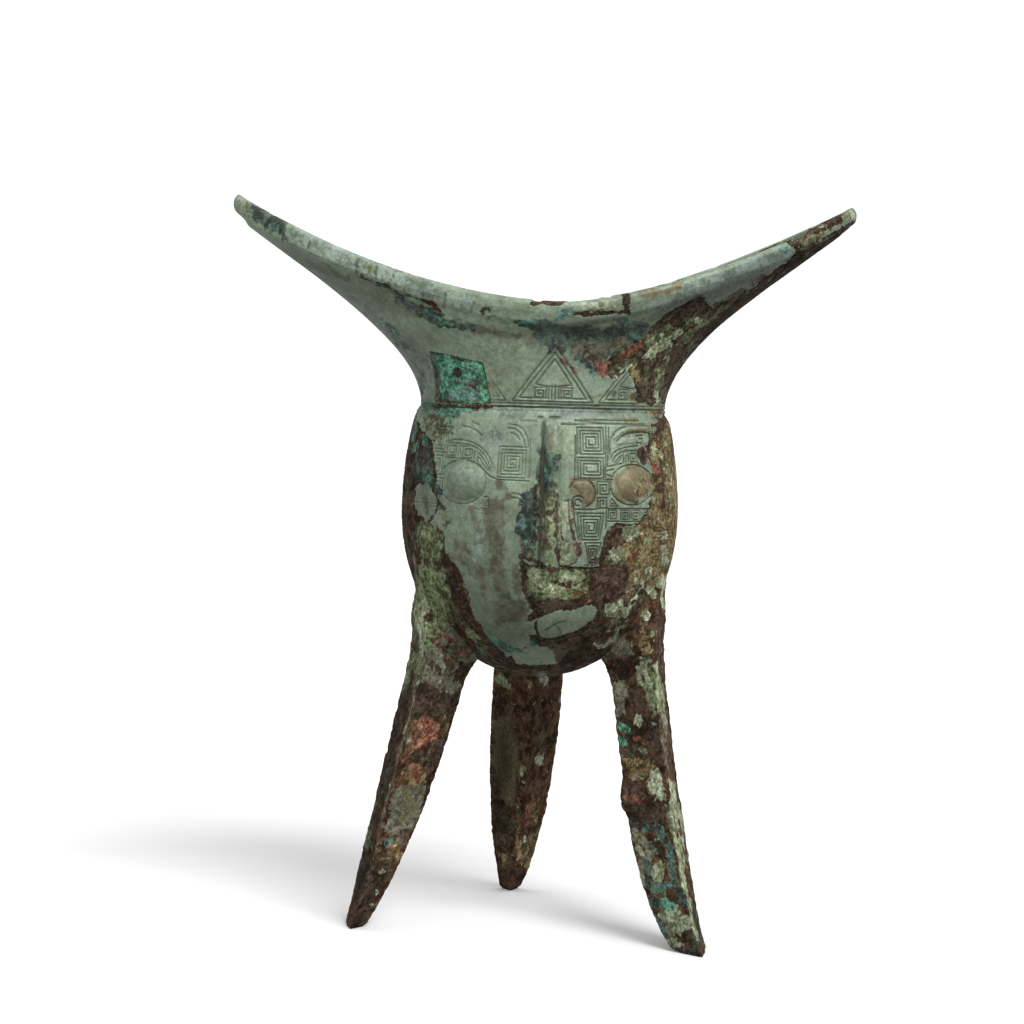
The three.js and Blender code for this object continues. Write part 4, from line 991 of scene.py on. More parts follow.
patinaGround = {
    "crust": ((0.02, 0.0135, 0.009), (0.05, 0.036, 0.023), (0.10, 0.078, 0.05)),
    "legCrust": ((0.021, 0.0105, 0.006), (0.052, 0.0275, 0.015), (0.1, 0.058, 0.032)),
    "rust": (0.10, 0.052, 0.027),
    "lichen": (0.085, 0.085, 0.05),
    "flake": (0.2, 0.21, 0.135),
    "pit": (0.014, 0.0095, 0.0065),
    "skin": ((0.105, 0.13, 0.086), (0.185, 0.24, 0.168), (0.275, 0.355, 0.262)),
    "freckle": (0.135, 0.115, 0.072),
    "stain_and_shade": ((0.062, 0.055, 0.03), (0.1, 0.092, 0.054), (0.142, 0.14, 0.088)),
    "outline": (0.032, 0.022, 0.015),
    "groove": (0.05, 0.047, 0.032),
}


def tones(tree, value, colours):
    node = newNode(tree, "ShaderNodeValToRGB")
    marks = node.color_ramp.elements
    marks[0].position, marks[1].position = 0.06, 0.94
    marks.new(0.5)
    for mark, colour in zip(marks, colours):
        mark.color = (*colour, 1)
    tree.links.new(value, node.inputs["Fac"])
    return node.outputs["Color"]


def patinaMaterial(name, crust="crust", crustRough=0.78, skinRough=0.42, flakes=0.61, pits=0.85):
    material = bpy.data.materials.new(name)
    material.use_nodes = True
    tree = material.node_tree
    shader = tree.nodes["Principled BSDF"]
    place = newNode(tree, "ShaderNodeTexCoord").outputs["Object"]
    clouds = noiseNode(tree, place, 42, 3, 0.5)
    mottle = noiseNode(tree, place, 300, 6, 0.68)
    speckle = noiseNode(tree, place, 1000, 4, 0.65)
    grit = noiseNode(tree, place, 1500, 3, 0.6, 5.2)
    fine = noiseNode(tree, place, 750, 4, 0.62, 1.4)
    patches = [noiseNode(tree, place, scale, 5, 0.62, 9.3 + 2.7 * scale) for scale in (130, 190, 330, 420, 900)]
    tone = spread(tree, mottle, 0.36, 0.64)

    def scaled(value, share):
        return sums(tree, "MULTIPLY", value, share)

    def added(*values):
        total = values[0]
        for value in values[1:]:
            total = sums(tree, "ADD", total, value)
        return total

    def swing(noise, share):
        # a noise about zero
        return scaled(sums(tree, "SUBTRACT", noise, 0.5), share)

    def flecked(under, noise, low, high, share, tint):
        return mixColours(tree, spread(tree, noise, low, high, 0, share), under, tint)

    def cover(layer, index):
        look = patinaLayers[layer]
        own = noiseNode(tree, place, 260, 5, 0.64, 3.1 * index)
        whole = added(swing(own, look["patchy"]), swing(speckle, look["grainy"]), 1.0)
        share = spread(tree, scaled(maskNode(tree, layer), whole), *look["cover"])
        broad = noiseNode(tree, place, 150, 4, 0.6, 3.1 * index + 1.7)
        ownTone = spread(tree, added(scaled(broad, 0.5), scaled(fine, 0.5)), 0.41, 0.59)
        low, _, high = look["tones"]
        paint = tones(tree, ownTone, look["tones"])
        paint = flecked(paint, patches[2], 0.56, 0.6, look["flecks"], tuple(1.25 * part for part in high))
        return share, flecked(paint, patches[3], 0.55, 0.59, look["flecks"], tuple(0.7 * part for part in low))

    ground = patinaGround
    colour = tones(tree, tone, ground[crust])
    crustFlecks = [
        # noise, the range over which it shows, its share and its colour
        (patches[0], 0.55, 0.61, 0.5, "lichen"), (patches[1], 0.54, 0.6, 0.6, "rust"),
        (patches[2], flakes, flakes + 0.03, 0.9, "flake"), (patches[3], 0.57, 0.61, pits, "pit"),
        (patches[4], 0.64, 0.67, 0.8, "flake"),
    ]
    for *fleck, tint in crustFlecks:
        colour = flecked(colour, *fleck, ground[tint])
    skin = spread(tree, added(maskNode(tree, "skin"), swing(speckle, 0.7)), 0.4, 0.6)
    mixed = added(scaled(clouds, 0.35), added(scaled(mottle, 0.35), scaled(fine, 0.3)))
    skinColour = tones(tree, spread(tree, mixed, 0.3, 0.7), ground["skin"])
    skinColour = flecked(skinColour, patches[1], 0.56, 0.66, 0.35, ground["freckle"])
    # this layer makes the skin darker and browner where it covers: part stain, part painted shade
    frayed = added(swing(patches[2], 1.6), swing(fine, 1.0), 1.0)
    stain_and_shade = spread(tree, scaled(maskNode(tree, "stain_and_shade"), frayed), 0.34, 0.86, 0, 0.8)
    skinColour = mixColours(tree, stain_and_shade, skinColour, tones(tree, tone, ground["stain_and_shade"]))
    colour = mixColours(tree, skin, colour, skinColour)
    line = scaled(maskNode(tree, "outline"), spread(tree, mottle, 0.42, 0.56, 0.1, 0.9))
    colour = mixColours(tree, line, colour, ground["outline"])
    for index, layer in enumerate(patinaLayers):
        share, layerColour = cover(layer, index)
        colour = mixColours(tree, share, colour, layerColour)
    for mask, share, tint in (("groove", 0.62, "groove"), ("crack", 0.8, "outline")):
        colour = mixColours(tree, scaled(maskNode(tree, mask), share), colour, ground[tint])
    freckle = mixValues(
        tree, skin, spread(tree, grit, 0.32, 0.68, 0.6, 1.4), spread(tree, grit, 0.32, 0.68, 0.84, 1.16))
    # the shade attribute multiplies the colour: painted shade and painted highlights, with some patina tone
    colour = mixColours(tree, 1.0, colour, scaled(freckle, maskNode(tree, "shade")), "MULTIPLY")
    rough = mixValues(tree, skin, spread(tree, mottle, 0.3, 0.7, crustRough + 0.1, crustRough - 0.1),
                      spread(tree, mottle, 0.3, 0.7, skinRough - 0.05, skinRough + 0.12))
    bump = newNode(tree, "ShaderNodeBump")
    bump.inputs["Strength"].default_value = 0.45
    bump.inputs["Distance"].default_value = 0.0002
    calm = spread(tree, skin, 0, 1, 1.0, 0.3)
    tree.links.new(scaled(added(scaled(speckle, 0.6), mottle), calm), bump.inputs["Height"])
    ends = {"Base Color": colour, "Roughness": rough, "Specular IOR Level": spread(tree, skin, 0, 1, 0.1, 0.34),
            "Normal": bump.outputs["Normal"]}
    for socket, value in ends.items():
        tree.links.new(value, shader.inputs[socket])
    return material


bronzes = {
    "sage_bronze": patinaMaterial("sage_bronze"),
    "brown_bronze": patinaMaterial("brown_bronze", "legCrust", crustRough=0.82, flakes=0.63, pits=0.45),
}
print("materials made")


# Bowl: an egg in four pieces, a round base and, over it, the ring that carries the mask band

bowlSkin = {"rise": 0.3, "pits": 0.16, "sway": 0.22, "seam": 108.2, "slot": (-2.8, 0.5)}
# Dents in the shoulder over the flange: arc, height, half width, half height
shoulderDents = [(-3.8, 151.2, 1.2, 0.45), (0.5, 151.2, 2.2, 0.45)]


def outerNormals(points):
    form = bowlForm
    out, rise = np.hypot(points[:, 0], points[:, 1]), points[:, 2] - form["widestHeight"]
    tall, upperTall = form["widestHeight"] - form["baseHeight"], form["shoulderHeight"] - form["widestHeight"]
    share = np.clip(rise / upperTall, 0, 1)
    lean = 2.2 * (form["radius"] - form["shoulderRadius"]) * share ** 1.2 / upperTall
    lean = np.where(points[:, 2] > form["shoulderHeight"], 0.55, lean)
    low = rise < 0
    radial = np.where(low, out / form["radius"] ** 2, 1.0)
    upright = np.where(low, rise / tall ** 2, lean)
    flat = points[:, :2] / np.maximum(out, 1e-6)[:, None] * radial[:, None]
    normals = np.column_stack([flat, upright])
    return normals / np.linalg.norm(normals, axis=1, keepdims=True)


def bowlSurface(points, inside):
    # Patina and relief of the bowl's wall, the same for each piece where two of them meet
    normals = outerNormals(points)
    masks = patina(points, normals, 100, isRound=True, inside=inside)
    turn = np.arctan2(points[:, 0], -points[:, 1])
    backTurn = np.arctan2(-points[:, 0], points[:, 1])
    front = np.abs(turn) <= math.pi / 2
    v = points[:, 2]
    cut, raised = np.zeros(len(v)), np.zeros(len(v))
    for side, back in ((front, False), (~front, True)):
        if side.any():
            u = bowlForm["radius"] * (backTurn if back else turn)[side]
            cut[side], raised[side] = maskRelief(u, v[side], back)
    u = bowlForm["radius"] * turn
    middle, halfSlot = bowlSkin["slot"]
    slot = 1 - ease(-0.25, 0.25, np.abs(u - middle) - halfSlot + 0.25 * roughNoise(points, 2.5, 3, 25))
    beside = slot * ease(108.5, 111, v) * (1 - ease(149.2, 150.6, v)) * front
    kept = keptShare(masks) * ~inside
    # the slot beside the flange is coloured darker than any engraved line: patina in the slot and painted shade on the
    # flange's left side
    groove = np.maximum(cut * kept, 1.3 * beside)
    for u0, v0, halfWidth, halfHeight in shoulderDents:
        dent = 1 - ease(0.7, 1.1, np.hypot((u - u0) / halfWidth, (v - v0) / halfHeight))
        groove = np.maximum(groove, dent * front)
    lift = bowlSkin["rise"] * masks["skin"] + 0.1 * masks["pale"] + 0.15 * masks["malachite"]
    lift -= bowlSkin["pits"] * (1 - masks["skin"]) * ease(0.0, 0.7, roughNoise(points, 2.2, 3, 21))
    lift += bowlSkin["sway"] * roughNoise(points, 16, 2, 22)
    lift += 0.05 * (1 - masks["skin"]) * roughNoise(points, 0.9, 2, 23)
    lift += maskCut["raise"] * raised * kept - maskCut["depth"] * groove
    lift = np.where(inside, -0.15 * roughNoise(points, 5, 3, 24), lift)
    # the left half of the mask is worn pale: its lines show more by their relief than by dirt
    masks["groove"] = groove * blend(1, 0.45, ease(-4.5, -6, u) * front)
    return points + normals * lift[:, None], masks


def bowlGrid(outside, inner, turns, facing=1.0):
    # Two profiles turned round the axis: the outer wall's rows, then the inner wall's
    profile = np.concatenate([outside, inner])
    radius, height = profile[:, :1], profile[:, 1:]
    points = np.stack([facing * radius * np.sin(turns), -facing * radius * np.cos(turns), height + 0 * turns], 2)
    inside = np.repeat(np.arange(len(profile)) >= len(outside), len(turns))
    flat, masks = bowlSurface(points.reshape(-1, 3), inside)
    return flat.reshape(points.shape), masks


def bowlBand(name, back, runs, rowStep):
    # runs: from and to, in millimetres round the wall, and the step between columns there
    form, seam = bowlForm, bowlSkin["seam"]
    columns = spotsAlong([(a, b, max(2, int((b - a) / step))) for a, b, step in runs])
    turns = np.append(columns, runs[-1][1]) / form["radius"]
    heights = np.linspace(seam, form["shoulderHeight"] - 0.35, int((form["shoulderHeight"] - seam) / rowStep))
    wall = np.stack([bowlRadius(heights), heights], 1)
    shares = np.linspace(0, 1, 12)
    slope = np.stack([
        blend(form["shoulderRadius"] - 0.05, form["collarRadius"], shares ** 1.2),
        blend(form["shoulderHeight"], form["collarHeight"], shares ** 0.9)], 1)
    shares = np.linspace(0, 1, 16)
    inner = np.stack([
        blend(form["collarRadius"], form["radius"], ease(0, 0.9, shares)) - form["wall"],
        blend(form["collarHeight"], seam, shares)], 1)
    inner[-5:, 0] = bowlRadius(inner[-5:, 1]) - form["wall"]
    points, masks = bowlGrid(np.concatenate([wall, slope]), inner, turns, -1.0 if back else 1.0)
    for end in (0, -1):
        # neighbouring pieces meet on one flat face
        points[:, end, 0 if abs(turns[end]) < 0.1 else 1] = 0
    points[[0, -1], :, 2] = seam
    patinaPiece(name, points, masks, "sage_bronze", "bowl", wrapRows=True, fill=True)


def bowlBase():
    form, seam = bowlForm, bowlSkin["seam"]

    def wall(inset, count):
        # from the pole up to the seam
        tall = form["widestHeight"] - form["baseHeight"] - inset
        turns = np.linspace(math.pi / 2, math.asin((form["widestHeight"] - seam) / tall), count)
        profile = np.stack([(form["radius"] - inset) * np.cos(turns), form["widestHeight"] - tall * np.sin(turns)], 1)
        profile[0, 0] = 0
        return profile

    outside = wall(0, 116)
    around = np.radians(spotsAlong([(-70, 70, 300), (70, 290, 240)]))
    points, masks = bowlGrid(outside, wall(form["wall"], 26)[::-1], around)
    points[0], points[-1] = points[0].mean(0), points[-1].mean(0)
    points[[len(outside) - 1, len(outside)], :, 2] = seam
    patinaPiece("bowl_base", points, masks, "sage_bronze", "bowl", wrapColumns=True)


quarter = bowlForm["radius"] * math.pi / 2
bowlBand("bowl_front_right", False, [(0, 9, 0.25), (9, 33, 0.15), (33, 44, 0.3), (44, quarter, 0.6)], 0.15)
bowlBand("bowl_front_left", False, [(-quarter, -44, 0.6), (-44, 0, 0.22)], 0.2)
bowlBand("bowl_back", True, [(-quarter, -36, 0.6), (-36, 36, 0.27), (36, quarter, 0.6)], 0.3)
bowlBase()


# Flared mouth: a round neck that opens into a boat-shaped rim

mouth = {
    "baseHeight": 152.7,
    "footHeight": 153.1,
    "neckRadius": 35.8,
    "rimHalfWidth": 41,
    "rimLowHeight": 183.8,
    "leftLip": (91.9, 213.6, 1.86),  # reach, height, how long the rim stays low
    "rightLip": (91.3, 215.8, 1.55),
    "flare": (2.1, 2.07),  # how soon the left and the right side open
    "planCurve": 1.8,
    "pointBluntness": 0.74,
    "rimThickness": 3.4,
    "pointThickness": 6,
    "wall": 2.6,
    "bandHeight": 6.5,
    "bandProud": 0.9,
    "rimRound": 0.6,
    "pointRound": (1.9, 6.6),  # how far the points' ends are rounded off, and over what height
    "chips": [(567, 600, 0.3), (787, 806, 0.8), (604, 611, 0.3)],  # of the rim, in pixels
    "engravedTop": 172.5,
}
spacer = {"width": 19.5, "height": 14.5, "turn": -44.7, "middle": 161.6, "seat": 0.7, "gap": 0.05,
          "slope": 3.2, "lean": (4.5, 1.2), "footLeft": 2.8}


def mouthWall(turn, height, drop, inner):
    # turn is from the front, in radians; height is used where drop is None
    form = mouth
    sine, cosine = np.sin(turn), np.cos(turn)
    left = sine < 0
    reach, tipHeight, rise = [np.where(left, *sides) for sides in zip(form["leftLip"], form["rightLip"])]
    inset = form["pointThickness"] if inner else 0
    radius = form["neckRadius"] - (form["wall"] if inner else 0)
    halfWidth = form["rimHalfWidth"] - (form["rimThickness"] if inner else 0)
    rimX = (reach - inset) * sine
    top = blend(form["rimLowHeight"], tipHeight, (np.abs(rimX) / reach) ** rise)
    if drop is not None:
        height = top - drop
    climb = np.clip((height - form["footHeight"]) / (top - form["footHeight"]), 0, 1)
    flare = np.minimum(1, climb ** 2 * (np.where(left, *form["flare"]) - 0.95 * climb))
    closing = np.maximum(0, 1 - np.abs(sine) ** form["planCurve"]) ** form["pointBluntness"]
    rimY = -halfWidth * np.sign(cosine) * closing
    x = blend(radius * sine, rimX, flare)
    y = blend(-radius * cosine, rimY, flare)
    return np.stack([x, y, np.broadcast_to(height, x.shape)], -1), top


def mouthNormals(turns, heights, inner):
    step = 1e-3
    along = mouthWall(turns + step, heights, None, inner)[0] - mouthWall(turns - step, heights, None, inner)[0]
    rise = mouthWall(turns, heights + 0.1, None, inner)[0] - mouthWall(turns, heights - 0.1, None, inner)[0]
    normals = np.cross(along, rise)
    return normals / np.maximum(np.linalg.norm(normals, axis=-1, keepdims=True), tiny)


def spacerEdges(across, height):
    # The plate's top at a place across it, and its two sides at a height
    share = np.clip(across / spacer["width"] + 0.5, 0, 1)
    top = spacer["middle"] + spacer["height"] / 2 - spacer["slope"] * share ** 1.4
    rise = np.clip((height - spacer["middle"]) / spacer["height"] + 0.5, 0, 1)
    half = spacer["width"] / 2
    return top, spacer["lean"][0] * rise - half - spacer["footLeft"], half - spacer["lean"][1] * rise


def mouthSurface(points, normals, turns, inside, rimShare):
    flat, out = points.reshape(-1, 3), normals.reshape(-1, 3)
    inside, rimShare = [np.repeat(values, len(turns)) for values in (inside, rimShare)]
    masks = patina(flat, out, 500, inside=inside)
    height = flat[:, 2]
    cut = bladeRelief(np.arctan2(flat[:, 0], -flat[:, 1]), height, mouth["neckRadius"]) * ~inside
    cut *= keptShare(masks)
    lift = 0.25 * masks["skin"] + 0.1 * masks["pale"] + 0.1 * masks["malachite"] - 0.1
    lift -= 0.12 * (1 - masks["skin"]) * ease(0, 0.7, roughNoise(flat, 2.4, 3, 31))
    lift += 0.12 * roughNoise(flat, 20, 2, 32) + 0.05 * (1 - masks["skin"]) * roughNoise(flat, 0.9, 2, 33)
    lift -= blades["depth"] * cut
    across = flat[:, :2] @ spacerSide
    ahead = flat[:, :2] @ spacerOut
    top, left, right = spacerEdges(across, height)
    foot = spacer["middle"] - spacer["height"] / 2
    seatGap = np.maximum.reduce([left - across, across - right, height - top, foot - height]) - spacer["gap"]
    seat = (1 - ease(-0.15, 0.2, seatGap + 0.15 * roughNoise(flat, 2, 3, 34))) * ~inside * (ahead > 0)
    lift = lift * (1 - seat) - spacer["seat"] * seat
    lift = np.where(inside, 0.15 * roughNoise(flat, 5, 3, 35), lift * (1 - 0.8 * rimShare))
    flat = flat + out * lift[:, None]
    nick = ease(0.35, 0.8, roughNoise(flat * [1, 1, 0], 4, 3, 36)) * 0.45
    across, _ = photoSpot(flat)
    for low, high, depth in mouth["chips"]:
        chip = ease(low - 1.5, low + 1.5, across) * (1 - ease(high - 1.5, high + 1.5, across))
        nick = nick + depth * chip * (flat[:, 1] < -4)
    flat[:, 2] -= nick * rimShare
    masks["groove"] = np.maximum(cut, 0.4 * seat * (1 - ease(0, 1, -seatGap)))
    return flat.reshape(points.shape), masks


def neckPiece():
    turns = np.radians(spotsAlong([(-180, -62, 130), (-62, 62, 330), (62, 180, 130)]))
    low, high, outerRows = mouth["baseHeight"], mouth["engravedTop"], 84
    levels = np.concatenate([np.linspace(low, high, outerRows), np.linspace(high, low, 12)])
    inside = np.arange(len(levels)) >= outerRows
    points, normals = [], []
    for level, inner in zip(levels, inside):
        heights = np.full_like(turns, level)
        points.append(mouthWall(turns, heights, None, inner)[0])
        normals.append(mouthNormals(turns, heights, inner))
    points, masks = mouthSurface(np.array(points), np.array(normals), turns, inside, 0.0 * levels)
    patinaPiece("mouth_neck", points, masks, "sage_bronze", "flared_mouth", wrapRows=True, wrapColumns=True)


def flarePiece(name, middle, columns, rows):
    form = mouth
    # columns stand closer where the rim is drawn out to its points
    share = np.linspace(-1, 1, columns)
    turns = middle + math.pi / 2 * (share + 0.18 * np.sin(math.pi * share) / math.pi * 2)
    _, top = mouthWall(turns, None, np.zeros_like(turns), False)
    _, innerTop = mouthWall(turns, None, np.zeros_like(turns), True)
    bandFoot = form["bandHeight"] + 1.6
    low = form["engravedTop"]
    points, normals, inside, rimShare = [], [], [], []

    def add(row, normal, inner, rim):
        points.append(row)
        normals.append(normal)
        inside.append(inner)
        rimShare.append(rim)

    for part in np.linspace(0, 1, rows[0])[:-1]:
        heights = blend(low, top - bandFoot, part)
        add(mouthWall(turns, heights, None, False)[0], mouthNormals(turns, heights, False), False, 0.0)
    for drop in np.linspace(bandFoot, form["rimRound"], rows[1]):
        row = mouthWall(turns, None, np.full_like(turns, drop), False)[0]
        proud = form["bandProud"] * ease(bandFoot, bandFoot - 2.2, drop) * ease(-0.4, 1.4, drop)
        proud = proud * ease(math.pi / 2, 1.1, np.abs(turns - middle))
        row[:, :2] *= (1 + proud / np.hypot(row[:, 0], row[:, 1]))[:, None]
        add(row, mouthNormals(turns, top - drop, False), False, float(ease(2.5, 0.5, drop)))
    outerRim = points[-1]
    innerRim = mouthWall(turns, None, np.full_like(turns, form["rimRound"]), True)[0]
    upward = np.broadcast_to(np.array([0.0, 0.0, 1.0]), outerRim.shape)
    for part in np.linspace(0, 1, 9)[1:-1]:
        row = blend(outerRim, innerRim, part)
        row[:, 2] += form["rimRound"] * math.sin(math.pi * part)
        add(row, upward, False, 1.0)
    for part in np.linspace(0, 1, rows[2]):
        heights = blend(innerTop - form["rimRound"], low, part)
        inward = -mouthNormals(turns, heights, True)
        add(mouthWall(turns, heights, None, True)[0], inward, True, float(1 - ease(0, 0.12, part)))
    points = np.array(points)
    reach = np.where(points[..., 0] < 0, form["leftLip"][0], form["rightLip"][0])
    point = ease(5, 0.5, reach - np.abs(points[..., 0]))
    rounding, tall = form["pointRound"]
    level = np.clip(2 * (top - points[..., 2]) / tall - 1, -1, 1)
    points[..., 0] -= np.sign(points[..., 0]) * rounding * np.abs(level) ** 2.5 * point
    solid, masks = mouthSurface(points, np.array(normals), turns, np.array(inside), np.array(rimShare))
    solid[:, [0, -1], 1] = 0
    patinaPiece(name, solid, masks, "sage_bronze", "flared_mouth", wrapRows=True, fill=True)


spacerFacing = math.radians(spacer["turn"])
spacerOut = np.array([math.sin(spacerFacing), -math.cos(spacerFacing)])
spacerSide = np.array([math.cos(spacerFacing), math.sin(spacerFacing)])
neckPiece()
flarePiece("mouth_flare_front", 0.0, 520, (66, 40, 24))
flarePiece("mouth_flare_back", math.pi, 320, (40, 24, 24))


# Spacer: the square plate let into the neck, all malachite

spacerMarks = {
    "dark": {"ragged": 1.4, "strokes": [
        [(458, 369, 1), (457, 375, 1.6)], [(469, 385, 1.2), (474, 388, 1.6)], [(440, 400, 1.4), (466, 404, 0.8)],
    ]},
    "teal": {"ragged": 2, "strokes": [
        [(434, 354, 3), (436, 380, 4), (438, 402, 4)], [(460, 366, 2), (472, 372, 2), (472, 380, 2)],
        [(446, 404, 2), (480, 404, 1.5)], [(452, 358, 2), (470, 362, 1.5)],
    ], "blots": [(457, 373, 5, 6), (470, 384, 5, 3)]},
    "azure": {"ragged": 2, "areas": [
        [(446, 388), (478, 390), (484, 402), (448, 401)],
    ], "strokes": [[(462, 380, 3), (480, 380, 3)]]},
    "tan": {"ragged": 0.6, "strokes": [
        [(449, 382, 0.8), (458, 383, 1)], [(442, 352, 1), (454, 354, 0.5)], [(470, 358, 0.6), (484, 366, 1.2)],
        [(486, 382, 0.8), (488, 402, 1)],
    ]},
}


def spacerPiece():
    across = np.linspace(-0.5, 0.5, 64)
    upright = np.linspace(-0.5, 0.5, 70)
    edge = np.minimum(0.5 - np.abs(across)[None, :], 0.5 - np.abs(upright)[:, None])
    heights = spacer["middle"] + upright[:, None] * spacer["height"] + 0 * across[None, :]
    top, left, right = spacerEdges(across[None, :] * spacer["width"], heights)
    foot = spacer["middle"] - spacer["height"] / 2
    heights = blend(foot, top, upright[:, None] + 0.5)
    wanted = blend(left, right, across[None, :] + 0.5)
    turns = spacerFacing + wanted / mouth["neckRadius"]
    for _ in range(8):
        face, _ = mouthWall(turns, heights, None, False)
        turns = turns + (wanted - face[..., :2] @ spacerSide) / mouth["neckRadius"]
    normals = gridNormals(face)
    if normals[30, 30, :2] @ spacerOut < 0:
        normals *= -1
    flat = face.reshape(-1, 3)
    rough = roughNoise(flat, 3.2, 4, 71).reshape(face.shape[:2])
    lift = -0.12 + 0.18 * rough - 0.2 * (1 - ease(0, 0.05, edge))
    front = face + normals * lift[..., None]
    back = face - normals * (spacer["seat"] + 0.25)
    sheet = np.concatenate([front, back[:, ::-1]], 1)
    seen, down = photoSpot(flat)
    marks = {}
    for name, layer in spacerMarks.items():
        marks[name] = layerGap(layer, seen, down, rough.ravel()).reshape(rough.shape)
    fields = {
        "dark": np.maximum(0.6 - 0.6 * ease(0.0, 0.03, edge + 0.04 * rough), 1 - ease(-1, 1, marks["dark"])),
        "teal": 1 - ease(-1.5, 1.5, marks["teal"]),
        "azure": 0.8 * (1 - ease(-3, 3, marks["azure"])),
        "tan": 1 - ease(-1, 1, marks["tan"]),
    }
    fields["malachite"] = 1 - 0.9 * np.maximum.reduce(list(fields.values()))
    fields["shade"] = 1.3 + 0.1 * rough
    wide = {name: np.concatenate([values, values[:, ::-1]], 1) for name, values in fields.items()}
    piece = gridPiece("spacer_plate", sheet, wide, wrapColumns=True, fill=True)
    finishPiece(piece, bronzes["sage_bronze"], "neck_spacer")


spacerPiece()


# Flange: a worn bar up the front, over the mould seam

flange = {
    "top": 149.0, "bottom": 107.1, "sway": (0.22, 4.5), "pits": (0.3, 2.2), "endShare": 0.88,
    # the section, as (across, out of the bowl): steep at the left beside its slot, sloping off to the right
    "section": [(-2.0, -0.9), (3.3, -0.9), (3.1, -0.1), (2.5, 0.9), (1.9, 2.1), (1.1, 2.8), (0.0, 3.0), (-1.0, 2.7),
                (-1.6, 1.8), (-1.9, 0.4)],
}


def roundedBar(halfWidth, low, high, corner, count):
    # Points round a bar's section
    loop = []
    for side, rise, start in ((1, low, -90), (1, high, 0), (-1, high, 90), (-1, low, 180)):
        centre = side * (halfWidth - corner), rise + (corner if rise == low else -corner)
        for step in range(7):
            turn = math.radians(start + 15 * step)
            loop.append((centre[0] + corner * math.cos(turn), centre[1] + corner * math.sin(turn)))
    return evenLoop(loop, count)


def evenLoop(loop, count):
    loop = np.array(list(loop) + [loop[0]], float)
    length = np.concatenate([[0], np.cumsum(np.hypot(*np.diff(loop, axis=0).T))])
    spots = np.linspace(0, length[-1], count, endpoint=False)
    return np.stack([np.interp(spots, length, loop[:, 0]), np.interp(spots, length, loop[:, 1])], 1)


def flangePiece():
    section = smoothLoop(evenLoop(flange["section"], 96), 4)
    rows = []
    for height in np.linspace(flange["bottom"], flange["top"], 190):
        ends = min(height - flange["bottom"], flange["top"] - height)
        shrink = blend(flange["endShare"], 1, ease(-0.1, 0.9, ends))
        out = bowlRadius(np.array(height)) + section[:, 1] * np.where(section[:, 1] > 0, shrink, 1)
        rows.append(np.stack([section[:, 0] * shrink, -out, np.full(len(section), height)], 1))
    points = closeEnds(rows, (0.6, 0.25, 0.0))
    normals = tubeNormals(points, 90, np.array([0, -1, 0]))
    normals[:3], normals[-3:] = (0, 0, -1), (0, 0, 1)
    flat, flatNormals = points.reshape(-1, 3), normals.reshape(-1, 3)
    masks = patina(flat, flatNormals, 700)
    lift = wearLift(flat, 51, flange["sway"], flange["pits"], 1 - 0.6 * masks["skin"])
    flat = flat + flatNormals * lift[:, None] * np.array([1, 1, 0.3])
    patinaPiece("flange_bar", flat.reshape(points.shape), masks, "sage_bronze", "front_flange", wrapColumns=True)


flangePiece()


# Eyes: oval domes on the mask band

eyes = {"halfWidth": 7.4, "halfHeight": 5.9, "proud": 2.2, "sunk": 2.4, "height": 132.6, "fromFlange": 36.5}


def eyePiece(name, azimuth, seed):
    turn = math.radians(azimuth)
    outward, sideways = np.array([math.cos(turn), math.sin(turn), 0]), np.array([-math.sin(turn), math.cos(turn), 0])
    seat = float(bowlRadius(np.array(eyes["height"])))
    spokes = np.linspace(0, 2 * math.pi, 96, endpoint=False)
    rows = []
    for share, behind in [(share, False) for share in np.linspace(0, 1, 40)] + [(0.6, True), (0.0, True)]:
        across = eyes["halfWidth"] * share * np.cos(spokes)
        height = eyes["height"] + eyes["halfHeight"] * share * np.sin(spokes)
        dome = eyes["proud"] * (1 - share ** 2.4) - 0.7 * share ** 6
        out = 0 * across + seat - eyes["sunk"] if behind else bowlRadius(height) * np.cos(across / seat) + dome
        rows.append(out[:, None] * outward + across[:, None] * sideways + height[:, None] * np.array([0, 0, 1]))
    points = np.array(rows)
    shape = points.shape[:2]
    normals = tubeNormals(points, 20, outward)
    normals[:2] = outward
    flat, flatNormals = points.reshape(-1, 3), normals.reshape(-1, 3)
    masks = patina(flat, flatNormals, seed, isRound=True)
    pits = 0.25 * (1 - masks["skin"]) * ease(0.1, 0.7, roughNoise(flat, 1.8, 3, seed + 3))
    lift = 0.14 * roughNoise(flat, 4, 3, seed) - pits
    lift[-2 * shape[1]:] = 0
    lift[:shape[1]] = lift[0]
    flat = flat + flatNormals * lift[:, None]
    patinaPiece(name.replace("eye", "dome"), flat.reshape(points.shape), masks, "sage_bronze", name, wrapColumns=True)


frontAzimuth, backAzimuth = 270, 90
eyePiece("eye_front_left", frontAzimuth - eyes["fromFlange"], 810)
eyePiece("eye_front_right", frontAzimuth + eyes["fromFlange"], 820)
eyePiece("eye_back_left", backAzimuth + eyes["fromFlange"], 830)
eyePiece("eye_back_right", backAzimuth - eyes["fromFlange"], 840)


# Legs: three-sided blades, flat on the outside, with a ridge towards the axis

